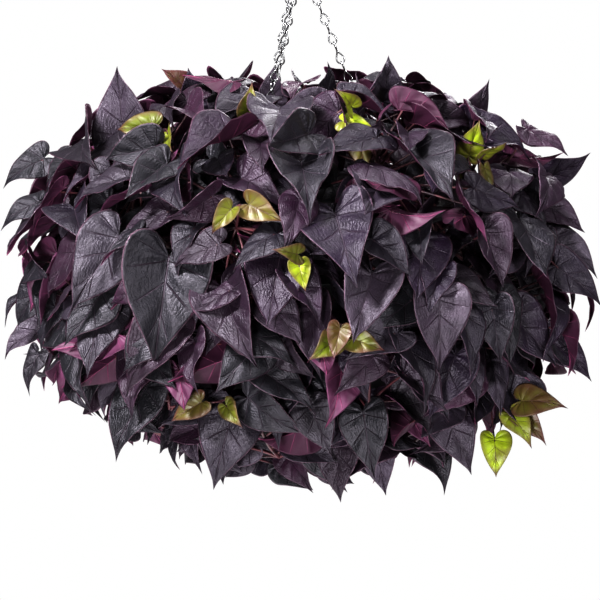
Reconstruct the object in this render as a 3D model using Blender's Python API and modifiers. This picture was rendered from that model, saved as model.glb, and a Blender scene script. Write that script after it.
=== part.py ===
"""A sweet potato vine in its hanging basket, in metres with +Z up.

An open wire hook hangs by the crown of its crook, which is the origin. Three jack chains run
from its eye to wire clips in the rim of a tapered pot of soil. Twenty-seven leafy vines stand
in holes in the soil: some rise as a crown, some arch over the rim and some trail down round
the pot. The front of the plant faces -Y.
"""

import math
import random

import bmesh
import bpy
from mathutils import Vector
from mathutils.bvhtree import BVHTree

MM = 0.001
GAP = 0.3 * MM
UP = Vector((0, 0, 1))

# Hook, chains and clips
HOOK_WIRE = 2.0 * MM
CROOK_RADIUS = 16 * MM
CROOK_CENTRE = -14 * MM
CROOK_START = 205
CROOK_END = -48
SHANK_TOP = -38 * MM
SHANK_END = -50 * MM
EYE_RADIUS = 11 * MM
EYE_CENTRE = SHANK_END - EYE_RADIUS
EYE_SWEEP = 326
LINK_WIRE = 0.95 * MM
LINK_PITCH = 25 * MM
LINK_HALF_WIDTH = 4.6 * MM
LINK_END = 2.6 * MM
LINK_WAIST = 1.25 * MM
LINK_SINK = 1.15 * LINK_WIRE
CHAINS = {"chain_right": (0, 22.4), "chain_left_back": (120, -5), "chain_left_front": (240, -26)}
CLIP_WIRE = 1.25 * MM
CLIP_EYE_RADIUS = 5 * MM
CLIP_SHANK = 6 * MM
CLIP_FOOT = 8 * MM
CLIP_HOLE = 2.1 * MM

# Pot and soil
RIM_TOP = -433 * MM
WALL = 2.5 * MM
RIM_RADIUS = 150 * MM
SKIRT = 12 * MM
CHAIN_RADIUS = 142 * MM
POT_TOP_RADIUS = 134 * MM
POT_FOOT_RADIUS = 104 * MM
POT_HEIGHT = 190 * MM
POT_STEPS = 20
DRAIN_RADIUS = 5 * MM
DRAIN_RING = 60 * MM
SOIL_TOP = -456 * MM
SOIL_DOME = 5 * MM
HOLE_FLOOR = -480 * MM
HOLE_RADIUS = 3.15 * MM

# Vines: the path of each ring of stems as (radius, height), and the azimuths they stand at
STEM_RADIUS = 2.4 * MM
PETIOLE_RADIUS = 1.35 * MM
PETIOLE_TAPER = 0.4
PETIOLE_SEAT = 0.18
STEM_STATIONS = 8
CROWN_PATHS = (
    ((30, -479.7), (30, -450), (38, -405), (62, -350), (98, -308), (140, -282)),
    ((34, -479.7), (34, -450), (34, -400), (40, -350), (50, -306), (66, -272)),
)
SHOULDER_PATHS = (
    ((76, -479.7), (76, -450), (90, -408), (130, -378), (185, -352), (232, -352), (262, -378)),
    ((72, -479.7), (72, -450), (84, -400), (118, -350), (162, -318), (205, -312), (236, -330)),
)
TRAILING_PATHS = (
    ((112, -479.7), (112, -450), (126, -414), (156, -402), (194, -408), (226, -442), (240, -495),
     (236, -548), (212, -598), (168, -632), (118, -648)),
    ((114, -479.7), (114, -450), (128, -416), (158, -406), (198, -418), (232, -452), (250, -500),
     (252, -545), (238, -585)),
)
RINGS = (
    ("crown_vine", 6, 30, CROWN_PATHS),
    ("shoulder_vine", 9, 20, SHOULDER_PATHS),
    ("trailing_vine", 12, 15, TRAILING_PATHS),
)
STEM_DRIFT = 9

# Leaves: the surface that the leaf junctions sit on and the outline that no tip passes
SEAT_PROFILE = (
    (0, -226), (60, -224), (120, -228), (170, -242), (226, -276), (272, -326), (296, -385),
    (302, -440), (296, -500), (274, -550), (234, -590), (182, -618), (116, -640), (44, -648),
)
OUTLINE = (
    (-184, 90), (-200, 180), (-218, 232), (-266, 300), (-326, 346), (-410, 360), (-494, 358),
    (-554, 336), (-590, 300), (-626, 246), (-662, 184), (-698, 110), (-709, 84),
)
LEAF_SEED = 11
LEAF_SEATS = 162
LEAF_LENGTHS = (72, 98)
BLADE = 0.9 * MM
BLADE_CLEARANCE = 1.3 * MM
SEAT_TRIES = 16
LONGEST_PETIOLE = 150 * MM
SHORTEST_PETIOLE = 26 * MM
STEM_START_FREE = 60 * MM
STEM_END_INSET = 3 * MM
UPRIGHT_SHARE = 0.3
HALF_OUTLINE = ((0.27, -0.22), (0.47, 0.12), (0.27, 0.62))
MIDRIB_POINT = 0.4
GOLDEN_ANGLE = math.pi * (3 - math.sqrt(5))

# Leaves that stand out from the front: x and z of the junction, x and z of the tip, and
# the depth of the junction where the seat surface doesn't give it
FRONT_LEAVES = {
    "broad_low_left": ((-174, -558), (-217, -635), None),
    "hanging_left_of_middle": ((-70, -600), (-102, -674), None),
    "long_low_middle": ((-60, -590), (-8, -696), None),
    "low_left_tip": ((-140, -606), (-156, -667), None),
    "low_right_tip": ((136, -615), (190, -700), None),
    "lowest_right": ((88, -632), (102, -708), None),
    "lowest_middle": ((44, -622), (42, -701), None),
    "upright_top_left": ((-206, -278), (-216, -199), -60),
    "below_upright": ((-217, -311), (-222, -372), None),
    "pale_left": ((-262, -370), (-251, -418), None),
    "left_middle": ((-204, -386), (-256, -464), None),
    "long_left_of_middle": ((-146, -409), (-161, -521), None),
    "turned_over_left": ((-286, -412), (-318, -472), -70),
    "pale_right": ((224, -458), (242, -528), None),
    "round_low_right": ((254, -584), (214, -528), -120),
    "top_spike_right": ((97, -234), (106, -184), -70),
    "top_spike_middle": ((28, -236), (36, -190), -40),
    "top_spike_left": ((-30, -234), (-32, -190), 20),
    "top_far_left": ((-120, -240), (-132, -196), -30),
    "top_far_right": ((196, -262), (226, -214), -40),
    "broad_top_middle": ((44, -246), (-4, -292), -150),
    "right_upper_edge": ((270, -266), (318, -290), -20),
    "right_high_edge": ((292, -325), (346, -300), 20),
    "right_mid_edge": ((284, -350), (334, -380), -60),
    "right_low_edge": ((298, -515), (348, -556), -20),
    "left_high_edge": ((-306, -300), (-354, -326), 0),
    "left_mid_edge": ((-310, -452), (-360, -482), -10),
    "left_low_edge": ((-306, -500), (-358, -532), 30),
    "low_right_inner": ((168, -596), (198, -656), None),
    "right_of_middle": ((208, -380), (230, -440), None),
}

# Young shoots: x and z of the shoot's end at the front, and three more round the back
SHOOT_SEED = 5
FRONT_SHOOTS = (
    (-154, -266), (-66, -350), (62, -252), (204, -300), (4, -412),
    (44, -500), (-96, -572), (262, -598),
)
BACK_SHOOTS = ((40, -300), (105, -470), (150, -360))
SHOOT_STEM = 1.5 * MM
SHOOT_GAP = 0.2 * MM
SHOOT_FOOT = 7 * MM
SHOOT_PETIOLE = 1.0 * MM
SHOOT_LENGTHS = (30, 46)
SHOOT_TRIES = 60
SHOOT_LEAVES = 2
SHOOT_TURN = 165


def polar(radius, azimuth, height):
    """The point at this radius and height, with the azimuth in degrees."""
    angle = math.radians(azimuth)
    return Vector((radius * math.cos(angle), radius * math.sin(angle), height))


def in_metres(pairs):
    """The same pairs of millimetres in metres."""
    return [(first * MM, second * MM) for first, second in pairs]


# Where the stems and leaves go


class Shape:
    """A small closed test mesh, with the sphere that holds it."""

    def __init__(self, points, faces):
        self.centre = sum(points, Vector()) / len(points)
        self.reach = max((point - self.centre).length for point in points)
        self.tree = BVHTree.FromPolygons(points, faces)


class Room:
    """The room that is taken, as named test meshes."""

    def __init__(self):
        self.taken = []

    def add(self, shape, owner):
        self.taken.append((shape, owner))

    def is_free(self, shape, skip=None):
        for other, owner in self.taken:
            if owner == skip:
                continue
            if (other.centre - shape.centre).length > other.reach + shape.reach:
                continue
            if other.tree.overlap(shape.tree):
                return False
        return True


class Leaf:
    """One leaf: where its blade meets the petiole, how it lies and what carries it."""

    def __init__(self, junction, along, normal, length, fold, droop):
        self.junction = junction
        self.along = along.normalized()
        self.normal = (normal - normal.dot(self.along) * self.along).normalized()
        self.side = self.along.cross(self.normal)
        self.length = length
        self.fold = fold
        self.droop = droop
        self.petiole = []

    def at(self, across, down, lift=0.0):
        """The point of the blade at this share of its length across and down from the junction."""
        rise = self.fold * abs(across) - self.droop * down * abs(down)
        point = self.side * across + self.along * down + self.normal * rise
        return self.junction + point * self.length + self.normal * lift

    def seat(self):
        """Where the petiole ends, inside the blade on its midrib."""
        return self.at(0.0, 0.0).lerp(self.at(0.0, MIDRIB_POINT), PETIOLE_SEAT)


def heart_outline():
    """The blade's outline from the junction round to the tip and back, as shares of its length."""
    left = [(-across, down) for across, down in reversed(HALF_OUTLINE)]
    return [(0.0, 0.0), *HALF_OUTLINE, (0.0, 1.0), *left]


def heart_faces():
    """Eight triangles that meet along the midrib: the last point is the one inside the blade."""
    return [
        (0, 1, 2), (0, 2, 8), (8, 2, 3), (8, 3, 4),
        (8, 4, 5), (8, 5, 6), (0, 8, 6), (0, 6, 7),
    ]


def blade_shape(leaf):
    """The blade as a test plate, thicker than the real one by its clearance."""
    spots = [*heart_outline(), (0.0, MIDRIB_POINT)]
    upper = [leaf.at(across, down, BLADE_CLEARANCE) for across, down in spots]
    lower = [leaf.at(across, down, -BLADE_CLEARANCE) for across, down in spots]
    count = len(spots)
    faces = heart_faces()
    faces += [tuple(index + count for index in reversed(face)) for face in heart_faces()]
    rim = count - 1
    for index in range(rim):
        following = (index + 1) % rim
        faces.append((index, index + count, following + count, following))
    return Shape(upper + lower, faces)


def tube_shape(points, radius):
    """A test tube with three sides round a path."""
    rings = []
    for index, point in enumerate(points):
        before = points[max(index - 1, 0)]
        after = points[min(index + 1, len(points) - 1)]
        heading = (after - before).normalized()
        sideways = heading.orthogonal().normalized()
        third = heading.cross(sideways)
        for turn in (0, 120, 240):
            angle = math.radians(turn)
            rings.append(point + radius * (math.cos(angle) * sideways + math.sin(angle) * third))
    faces = []
    for ring in range(len(points) - 1):
        start = 3 * ring
        for corner in range(3):
            following = (corner + 1) % 3
            faces.append((start + corner, start + following, start + 3 + following, start + 3 + corner))
    return Shape(rings, faces)


def smooth_path(points, count):
    """This many points, evenly spread along a smooth curve through the given ones."""
    fine = []
    last = len(points) - 1
    steps = 12
    for index in range(last):
        before = points[max(index - 1, 0)]
        start = points[index]
        end = points[index + 1]
        after = points[min(index + 2, last)]
        for step in range(steps):
            share = step / steps
            fine.append(0.5 * (
                2 * start
                + (end - before) * share
                + (2 * before - 5 * start + 4 * end - after) * share ** 2
                + (3 * start - before - 3 * end + after) * share ** 3
            ))
    fine.append(points[last])
    lengths = [0.0]
    for index in range(1, len(fine)):
        lengths.append(lengths[-1] + (fine[index] - fine[index - 1]).length)
    path = []
    place = 0
    for index in range(count):
        wanted = lengths[-1] * index / (count - 1)
        while place < len(fine) - 2 and lengths[place + 1] < wanted:
            place += 1
        share = (wanted - lengths[place]) / (lengths[place + 1] - lengths[place])
        path.append(fine[place].lerp(fine[place + 1], min(max(share, 0), 1)))
    return path


def stem_paths():
    """Each vine's name and the points its stem runs through, straight out of the soil first."""
    draw = random.Random(LEAF_SEED)
    vines = {}
    for ring, count, first, paths in RINGS:
        for index in range(count):
            azimuth = first + index * 360 / count
            drift = draw.uniform(-STEM_DRIFT, STEM_DRIFT)
            route = in_metres(paths[index % len(paths)])
            points = []
            for step, (radius, height) in enumerate(route):
                turn = drift * max(step - 1, 0) / (len(route) - 1)
                swell = 1.0 if step < 2 else draw.uniform(0.97, 1.03)
                points.append(polar(radius * swell, azimuth + turn, height))
            above = smooth_path(points[1:], STEM_STATIONS)
            vines[f"{ring}_{index + 1}"] = [points[0], *above]
    return vines


def pot_outer_radius(height):
    """The outer radius of the pot's wall at this height."""
    share = (RIM_TOP - height) / POT_HEIGHT
    return POT_TOP_RADIUS + (POT_FOOT_RADIUS - POT_TOP_RADIUS) * share


def turned_shape(profile):
    """A closed test mesh turned round Z from a closed loop of (radius, height)."""
    steps = 24
    points = [
        polar(radius, 360 * step / steps, height)
        for step in range(steps)
        for radius, height in profile
    ]
    count = len(profile)
    faces = []
    for step in range(steps):
        here = step * count
        there = (step + 1) % steps * count
        for index in range(count):
            following = (index + 1) % count
            faces.append((here + index, here + following, there + following, there + index))
    return Shape(points, faces)


def hardware_shapes(room):
    """Takes the room of the pot, the soil, the chains and the clips."""
    spare = 4 * MM
    foot = RIM_TOP - POT_HEIGHT - spare
    pot = (
        (POT_TOP_RADIUS - 2 * spare, RIM_TOP + spare),
        (RIM_RADIUS + spare, RIM_TOP + spare),
        (RIM_RADIUS + spare, RIM_TOP - SKIRT - spare),
        (POT_TOP_RADIUS + spare, RIM_TOP - SKIRT - spare),
        (POT_FOOT_RADIUS + spare, foot),
        (POT_FOOT_RADIUS / 2, foot),
        (POT_FOOT_RADIUS / 2, foot + spare),
    )
    room.add(turned_shape(pot), "pot")
    surface = (
        (POT_TOP_RADIUS, SOIL_TOP + spare),
        (POT_TOP_RADIUS, SOIL_TOP),
        (spare, SOIL_TOP),
        (spare, SOIL_TOP + SOIL_DOME + spare),
    )
    room.add(turned_shape(surface), "soil")
    for azimuth, eye_angle in CHAINS.values():
        start, end = chain_ends(azimuth, eye_angle)
        pieces = 6
        for piece in range(pieces):
            run = [start.lerp(end, piece / pieces), start.lerp(end, (piece + 1) / pieces)]
            room.add(tube_shape(run, 11 * MM), "chain")
        room.add(tube_shape([end, end - UP * 20 * MM], 13 * MM), "clip")


def profile_point(profile, share):
    """The point, and the direction out of the surface, at this share of a turned surface's area."""
    pieces = []
    total = 0.0
    steps = 10
    for (radius_a, height_a), (radius_b, height_b) in zip(profile, profile[1:]):
        for step in range(steps):
            middle = (step + 0.5) / steps
            radius = radius_a + (radius_b - radius_a) * middle
            height = height_a + (height_b - height_a) * middle
            run = math.hypot(radius_b - radius_a, height_b - height_a) / steps
            total += run * radius
            out = Vector((height_a - height_b, radius_b - radius_a)).normalized()
            pieces.append((total, radius, height, out))
    wanted = share * total
    for reached, radius, height, out in pieces:
        if reached >= wanted:
            return radius, height, out
    return pieces[-1][1:]


def outline_radius(height):
    """How far out a tip may reach at this height."""
    rows = [(z * MM, radius * MM) for z, radius in OUTLINE]
    if height > rows[0][0] or height < rows[-1][0]:
        return 0.0
    for (z_a, radius_a), (z_b, radius_b) in zip(rows, rows[1:]):
        if height >= z_b:
            return radius_a + (radius_b - radius_a) * (z_a - height) / (z_a - z_b)
    return rows[-1][1]


def within_outline(leaf):
    spots = [leaf.at(across, down) for across, down in heart_outline()]
    return all(math.hypot(spot.x, spot.y) <= outline_radius(spot.z) for spot in spots)


def petiole_path(start, leaf):
    """From the stem, behind the blade, to a point just inside its notch."""
    return [start, leaf.seat()]


def stem_spots(vines):
    """Each spot along the stems where a leaf may grow, the vine's name and the stem's direction."""
    spots = []
    for name, path in vines.items():
        travelled = 0.0
        for before, after in zip(path, path[1:]):
            run = (after - before).length
            heading = (after - before).normalized()
            if travelled > STEM_START_FREE:
                spots += [(before.lerp(after, share), name, heading) for share in (0.25, 0.75)]
            travelled += run
        spots.append((path[-1] - heading * STEM_END_INSET, name, heading))
    return spots


def attach(leaf, spots, room, radius, load):
    """Gives the leaf a petiole from a near stem that has room for it. False if none has."""
    reachable = []
    for spot, name, _ in spots:
        gap = (spot - leaf.junction).length
        if SHORTEST_PETIOLE < gap < LONGEST_PETIOLE:
            reachable.append((gap + 6 * MM * load[name], name, spot))
    reachable.sort(key=lambda row: row[0])
    for _, name, spot in reachable[:6]:
        path = petiole_path(spot, leaf)
        shape = tube_shape(path, radius + MM)
        if room.is_free(shape, skip=name):
            leaf.petiole = path
            leaf.vine = name
            return True
    return False


def settle(leaf, spots, room, load):
    """Takes the leaf's room if its blade and its petiole both fit."""
    blade = blade_shape(leaf)
    if not room.is_free(blade):
        return False
    if not attach(leaf, spots, room, PETIOLE_RADIUS, load):
        return False
    load[leaf.vine] += 1
    room.add(blade, "blade")
    room.add(tube_shape(leaf.petiole, PETIOLE_RADIUS + 0.5 * MM), leaf.vine + "_petiole")
    return True


def seat_depth(across, height):
    """The depth of the seat surface at the front, at this x and z."""
    rows = in_metres(SEAT_PROFILE)
    radius = rows[-1][0]
    for (radius_a, height_a), (radius_b, height_b) in zip(rows[2:], rows[3:]):
        if height_b <= height <= height_a:
            radius = radius_a + (radius_b - radius_a) * (height_a - height) / (height_a - height_b)
            break
    return -math.sqrt(max(radius ** 2 - across ** 2, (20 * MM) ** 2))


def front_leaves():
    """The leaves that stand out from the front, most of them facing it."""
    draw = random.Random(LEAF_SEED + 1)
    leaves = []
    for (x, z), (tip_x, tip_z), depth in FRONT_LEAVES.values():
        place = seat_depth(x * MM, z * MM) if depth is None else depth * MM
        junction = Vector((x * MM, place, z * MM))
        run = Vector(((tip_x - x) * MM, 0, (tip_z - z) * MM))
        run.y = -0.22 * run.length
        outward = Vector((junction.x, junction.y, 0)).normalized()
        normal = Vector((0, -0.9, 0.25)) + outward * 0.45
        fold = draw.uniform(0.1, 0.3)
        droop = draw.uniform(0.0, 0.12)
        leaves.append(Leaf(junction, run, normal, run.length, fold, droop))
    return leaves


def random_leaf(seat, out, draw, attempt):
    """A leaf at this seat: shingled down the sides, level on top, some upright."""
    outward = Vector((seat.x, seat.y, 0))
    if outward.length < 5 * MM:
        outward = polar(1, draw.uniform(0, 360), 0)
    outward.normalize()
    round_axis = UP.cross(outward)
    top = max(out.y, 0.0)
    looseness = 0.3 + 0.03 * attempt
    wobble = Vector([draw.uniform(-1, 1) for _ in range(3)]) * looseness
    swing = draw.uniform(-0.75, 0.75)
    if top > 0.6 and draw.random() < UPRIGHT_SHARE:
        along = UP + outward * 0.35 + round_axis * swing * 0.6
        normal = outward * draw.choice((-1, 1)) + wobble
    else:
        along = outward * (0.5 + 0.5 * top) - UP * (0.85 - 0.75 * top) + round_axis * swing
        normal = outward * (1 - 0.6 * top) + UP * (0.4 + 0.7 * top) + wobble
    length = draw.uniform(*LEAF_LENGTHS) * MM * (1 - 0.015 * attempt)
    inward = Vector((out.x * outward.x, out.x * outward.y, out.y)) * -1
    depth = draw.uniform(0, 12 + 4 * attempt) * MM
    fold = draw.uniform(0.05, 0.4)
    droop = draw.uniform(0.0, 0.22)
    return Leaf(seat + inward * depth, along, normal, length, fold, droop)


def seated_leaves(spots, room, load):
    """The leaves that cover the whole plant evenly, where there is room for them."""
    draw = random.Random(LEAF_SEED + 2)
    profile = in_metres(SEAT_PROFILE)
    leaves = []
    for index in range(LEAF_SEATS):
        radius, height, out = profile_point(profile, (index + 0.5) / LEAF_SEATS)
        azimuth = math.degrees(index * GOLDEN_ANGLE)
        seat = polar(radius, azimuth, height)
        for attempt in range(SEAT_TRIES):
            leaf = random_leaf(seat, out, draw, attempt)
            if within_outline(leaf) and settle(leaf, spots, room, load):
                leaves.append(leaf)
                break
    return leaves


def shoot_targets():
    """Where the young shoots end: the front ones by eye, the back ones spread round."""
    targets = []
    for x, z in FRONT_SHOOTS:
        targets.append(Vector((x * MM, seat_depth(x * MM, z * MM) - 12 * MM, z * MM)))
    for azimuth, z in BACK_SHOOTS:
        radius = -seat_depth(0, z * MM) + 12 * MM
        targets.append(polar(radius, azimuth, z * MM))
    return targets


def shoot_from(spot, stem_heading, target, draw):
    """A shoot that leaves a stem squarely from its side, with its small leaves."""
    away = target - spot
    squarely = (away - away.dot(stem_heading) * stem_heading).normalized()
    start = spot + squarely * (STEM_RADIUS + SHOOT_GAP)
    path = [start, start + squarely * SHOOT_FOOT]
    path.append(path[1].lerp(target, 0.5) + UP * 0.08 * away.length)
    path.append(target)
    outward = Vector((target.x, target.y, 0)).normalized()
    leaves = []
    for index in range(SHOOT_LEAVES):
        foot = path[-1] if index == 0 else path[-1].lerp(path[-2], 0.3 * index)
        turn = draw.uniform(0, 360) if index == 0 else turn + SHOOT_TURN
        round_axis = UP.cross(outward)
        angle = math.radians(turn)
        sideways = round_axis * math.cos(angle) + UP * math.sin(angle)
        junction = foot + sideways * draw.uniform(9, 13) * MM + outward * 7 * MM
        along = sideways * 0.8 + outward * draw.uniform(0.1, 0.7) - UP * 0.5
        normal = outward + UP * 0.4 - sideways * 0.4
        length = draw.uniform(*SHOOT_LENGTHS) * MM
        leaf = Leaf(junction, along, normal, length, draw.uniform(0.2, 0.55), 0.05)
        leaf.petiole = [foot, leaf.seat()]
        leaves.append(leaf)
    return path, leaves


def young_shoots(spots, room):
    """The name, path and leaves of each young shoot that finds room."""
    draw = random.Random(SHOOT_SEED)
    shoots = {}
    for target in shoot_targets():
        reachable = sorted(spots, key=lambda row: (row[0] - target).length)[:8]
        for attempt in range(SHOOT_TRIES):
            spot, vine, heading = reachable[attempt % len(reachable)]
            shift = Vector([draw.uniform(-1, 1) for _ in range(3)]) * attempt * 0.8 * MM
            path, leaves = shoot_from(spot, heading, target + shift, draw)
            blades = [blade_shape(leaf) for leaf in leaves]
            stalks = [tube_shape(leaf.petiole[:1] + [leaf.junction], SHOOT_PETIOLE + MM) for leaf in leaves]
            clear = all(room.is_free(shape, skip=vine) for shape in [tube_shape(path, SHOOT_STEM + MM)])
            clear = clear and all(room.is_free(shape) for shape in blades + stalks)
            alone = Room()
            for blade in blades:
                clear = clear and alone.is_free(blade)
                alone.add(blade, "blade")
            if not clear:
                continue
            for shape in blades + stalks + [tube_shape(path, SHOOT_STEM + 0.5 * MM)]:
                room.add(shape, "shoot")
            shoots[f"young_shoot_{len(shoots) + 1}"] = (path, leaves)
            break
    return shoots


def grow():
    """The vines' paths, every leaf with its petiole, and the young shoots."""
    vines = stem_paths()
    room = Room()
    hardware_shapes(room)
    for name, path in vines.items():
        for before, after in zip(path[1:], path[2:]):
            room.add(tube_shape([before, after], STEM_RADIUS + MM), name)
    spots = stem_spots(vines)
    load = dict.fromkeys(vines, 0)
    leaves = [leaf for leaf in front_leaves() if settle(leaf, spots, room, load)]
    shoots = young_shoots(spots, room)
    leaves += seated_leaves(spots, room, load)
    return vines, leaves, shoots


# Blender objects


def clear_scene():
    for obj in list(bpy.data.objects):
        bpy.data.objects.remove(obj, do_unlink=True)


def new_collection(name, hidden=False):
    collection = bpy.data.collections.new(name)
    bpy.context.scene.collection.children.link(collection)
    collection.hide_render = hidden
    return collection


def new_material(name, colour, roughness, metallic=0.0):
    material = bpy.data.materials.new(name)
    material.use_nodes = True
    shader = material.node_tree.nodes["Principled BSDF"]
    shader.inputs["Base Color"].default_value = (*colour, 1)
    shader.inputs["Roughness"].default_value = roughness
    shader.inputs["Metallic"].default_value = metallic
    return material


def new_object(name, mesh, collection, material=None):
    obj = bpy.data.objects.new(name, mesh)
    collection.objects.link(obj)
    if material:
        mesh.materials.clear()
        mesh.materials.append(material)
    return obj


def evaluated_mesh(obj):
    """The object's mesh with its modifiers applied and its doubles welded."""
    bpy.context.view_layer.update()
    graph = bpy.context.evaluated_depsgraph_get()
    mesh = bpy.data.meshes.new_from_object(obj.evaluated_get(graph), depsgraph=graph)
    form = bmesh.new()
    form.from_mesh(mesh)
    bmesh.ops.remove_doubles(form, verts=form.verts, dist=0.001 * MM)
    form.to_mesh(mesh)
    form.free()
    return mesh


def triangle_profile():
    """The three-sided section that slim stems and links are swept from, of radius 1."""
    curve = bpy.data.curves.new("section", "CURVE")
    spline = curve.splines.new("POLY")
    spline.points.add(2)
    for index in range(3):
        angle = 2 * math.pi * index / 3
        spline.points[index].co = (math.cos(angle), math.sin(angle), 0, 1)
    spline.use_cyclic_u = True
    section = bpy.data.objects.new("section", curve)
    section.hide_render = True
    section.display_type = "WIRE"
    helpers.objects.link(section)
    return section


def swept(name, points, radius, cyclic=False, resolution=None, taper=1.0):
    """A wire along the points: three-sided, or rounder at a bevel resolution."""
    curve = bpy.data.curves.new(name, "CURVE")
    curve.dimensions = "3D"
    curve.use_fill_caps = not cyclic
    spline = curve.splines.new("POLY")
    spline.points.add(len(points) - 1)
    spline.use_cyclic_u = cyclic
    for index, point in enumerate(points):
        spline.points[index].co = (*point, 1)
        share = index / (len(points) - 1)
        thickness = 1 + (taper - 1) * share
        spline.points[index].radius = thickness * (radius if resolution is None else 1)
    if resolution is None:
        curve.bevel_mode = "OBJECT"
        curve.bevel_object = section
    else:
        curve.bevel_depth = radius
        curve.bevel_resolution = resolution
    guide = bpy.data.objects.new(name, curve)
    helpers.objects.link(guide)
    mesh = evaluated_mesh(guide)
    bpy.data.objects.remove(guide, do_unlink=True)
    form = bmesh.new()
    form.from_mesh(mesh)
    bmesh.ops.recalc_face_normals(form, faces=form.faces)
    form.to_mesh(mesh)
    form.free()
    return mesh


def fused(name, pieces, material, solver="EXACT"):
    """One object of this name from pieces that overlap, by a union of the rest with the first."""
    joining = new_collection("joining", hidden=True)
    base = new_object(name, pieces[0], plant, material)
    for index, mesh in enumerate(pieces[1:]):
        new_object(f"piece_{index}", mesh, joining)
    union = base.modifiers.new("union", "BOOLEAN")
    union.operation = "UNION"
    union.operand_type = "COLLECTION"
    union.collection = joining
    union.solver = solver
    mesh = evaluated_mesh(base)
    base.modifiers.remove(union)
    base.data = mesh
    mesh.materials.clear()
    mesh.materials.append(material)
    for obj in list(joining.objects):
        bpy.data.objects.remove(obj, do_unlink=True)
    bpy.data.collections.remove(joining)
    return base


def blade_mesh(leaf):
    """The blade as a thin plate: a folded surface made solid."""
    spots = [*heart_outline(), (0.0, MIDRIB_POINT)]
    mesh = bpy.data.meshes.new("blade")
    mesh.from_pydata([leaf.at(across, down) for across, down in spots], [], heart_faces())
    sheet = new_object("blade", mesh, helpers)
    wall = sheet.modifiers.new("thickness", "SOLIDIFY")
    wall.thickness = BLADE
    wall.offset = 0
    plate = evaluated_mesh(sheet)
    bpy.data.objects.remove(sheet, do_unlink=True)
    form = bmesh.new()
    form.from_mesh(plate)
    bmesh.ops.recalc_face_normals(form, faces=form.faces)
    form.to_mesh(plate)
    form.free()
    return plate


def make_vine(name, path, leaves):
    pieces = [swept(name, path, STEM_RADIUS, resolution=0)]
    for leaf in leaves:
        pieces.append(swept("petiole", leaf.petiole, PETIOLE_RADIUS, taper=PETIOLE_TAPER))
        pieces.append(blade_mesh(leaf))
    fused(name, pieces, leaf_dark)


def make_shoot(name, path, leaves):
    pieces = [swept(name, path, SHOOT_STEM)]
    for leaf in leaves:
        pieces.append(swept("petiole", leaf.petiole, SHOOT_PETIOLE, taper=0.4))
        pieces.append(blade_mesh(leaf))
    fused(name, pieces, leaf_young)


def turned(name, profile, material):
    """A shape turned round Z from a profile of (radius, height) that runs down its outside."""
    mesh = bpy.data.meshes.new(name)
    edges = [(index, index + 1) for index in range(len(profile) - 1)]
    mesh.from_pydata([(radius, 0, height) for radius, height in profile], edges, [])
    obj = new_object(name, mesh, plant, material)
    screw = obj.modifiers.new("turn", "SCREW")
    screw.steps = POT_STEPS
    screw.render_steps = POT_STEPS
    screw.use_merge_vertices = True
    screw.merge_threshold = 0.01 * MM
    return obj


def cutter(name, centre, radius, low, high, sides):
    bpy.ops.mesh.primitive_cylinder_add(
        vertices=sides,
        radius=radius,
        depth=high - low,
        location=(centre.x, centre.y, (low + high) / 2),
    )
    obj = bpy.context.object
    obj.name = name
    for collection in list(obj.users_collection):
        collection.objects.unlink(obj)
    helpers.objects.link(obj)
    obj.hide_render = True
    obj.display_type = "WIRE"
    return obj


def cut(obj, cutters):
    """Takes all the cutters out of the object in one Boolean."""
    group = new_collection(f"{obj.name}_cutters", hidden=True)
    for piece in cutters:
        helpers.objects.unlink(piece)
        group.objects.link(piece)
    modifier = obj.modifiers.new("holes", "BOOLEAN")
    modifier.operation = "DIFFERENCE"
    modifier.operand_type = "COLLECTION"
    modifier.collection = group


def make_pot():
    foot = RIM_TOP - POT_HEIGHT
    inner_top = POT_TOP_RADIUS - WALL
    inner_foot = POT_FOOT_RADIUS - WALL
    profile = [
        (0, foot + WALL),
        (inner_foot, foot + WALL),
        (inner_top, RIM_TOP),
        (RIM_RADIUS, RIM_TOP),
        (RIM_RADIUS, RIM_TOP - SKIRT),
        (RIM_RADIUS - WALL, RIM_TOP - SKIRT),
        (RIM_RADIUS - WALL, RIM_TOP - WALL),
        (POT_TOP_RADIUS, RIM_TOP - WALL),
        (POT_FOOT_RADIUS, foot),
        (0, foot),
    ]
    pot = turned("pot", profile, pot_plastic)
    holes = []
    for name, (azimuth, _) in CHAINS.items():
        spot = polar(CHAIN_RADIUS, azimuth, 0)
        holes.append(cutter(f"{name}_hole", spot, CLIP_HOLE, RIM_TOP - 3 * WALL, RIM_TOP + WALL, 8))
    for index in range(4):
        spot = polar(DRAIN_RING, 45 + 90 * index, 0)
        holes.append(cutter(f"drain_{index}", spot, DRAIN_RADIUS, foot - WALL, foot + 2 * WALL, 8))
    cut(pot, holes)


def make_soil(vines):
    foot = RIM_TOP - POT_HEIGHT + WALL + GAP
    edge = SOIL_TOP
    slope = (POT_TOP_RADIUS - POT_FOOT_RADIUS) / POT_HEIGHT
    wall_gap = 2 * GAP

    def inner_radius(height):
        return POT_TOP_RADIUS - WALL - slope * (RIM_TOP - height) - wall_gap

    profile = [
        (0, SOIL_TOP + SOIL_DOME),
        (inner_radius(edge) * 0.6, SOIL_TOP + 0.7 * SOIL_DOME),
        (inner_radius(edge), edge),
        (inner_radius(foot), foot),
        (0, foot),
    ]
    soil = turned("soil", profile, soil_mix)
    holes = []
    for name, path in vines.items():
        holes.append(cutter(f"{name}_hole", path[0], HOLE_RADIUS, HOLE_FLOOR, SOIL_TOP + 20 * MM, 6))
    cut(soil, holes)


def crown_arc(radius, centre, first, last, count):
    """Points on an arc in the XZ plane, between two angles from +X."""
    points = []
    for index in range(count):
        angle = math.radians(first + (last - first) * index / (count - 1))
        points.append(Vector((radius * math.cos(angle), 0, centre + radius * math.sin(angle))))
    return points


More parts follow.
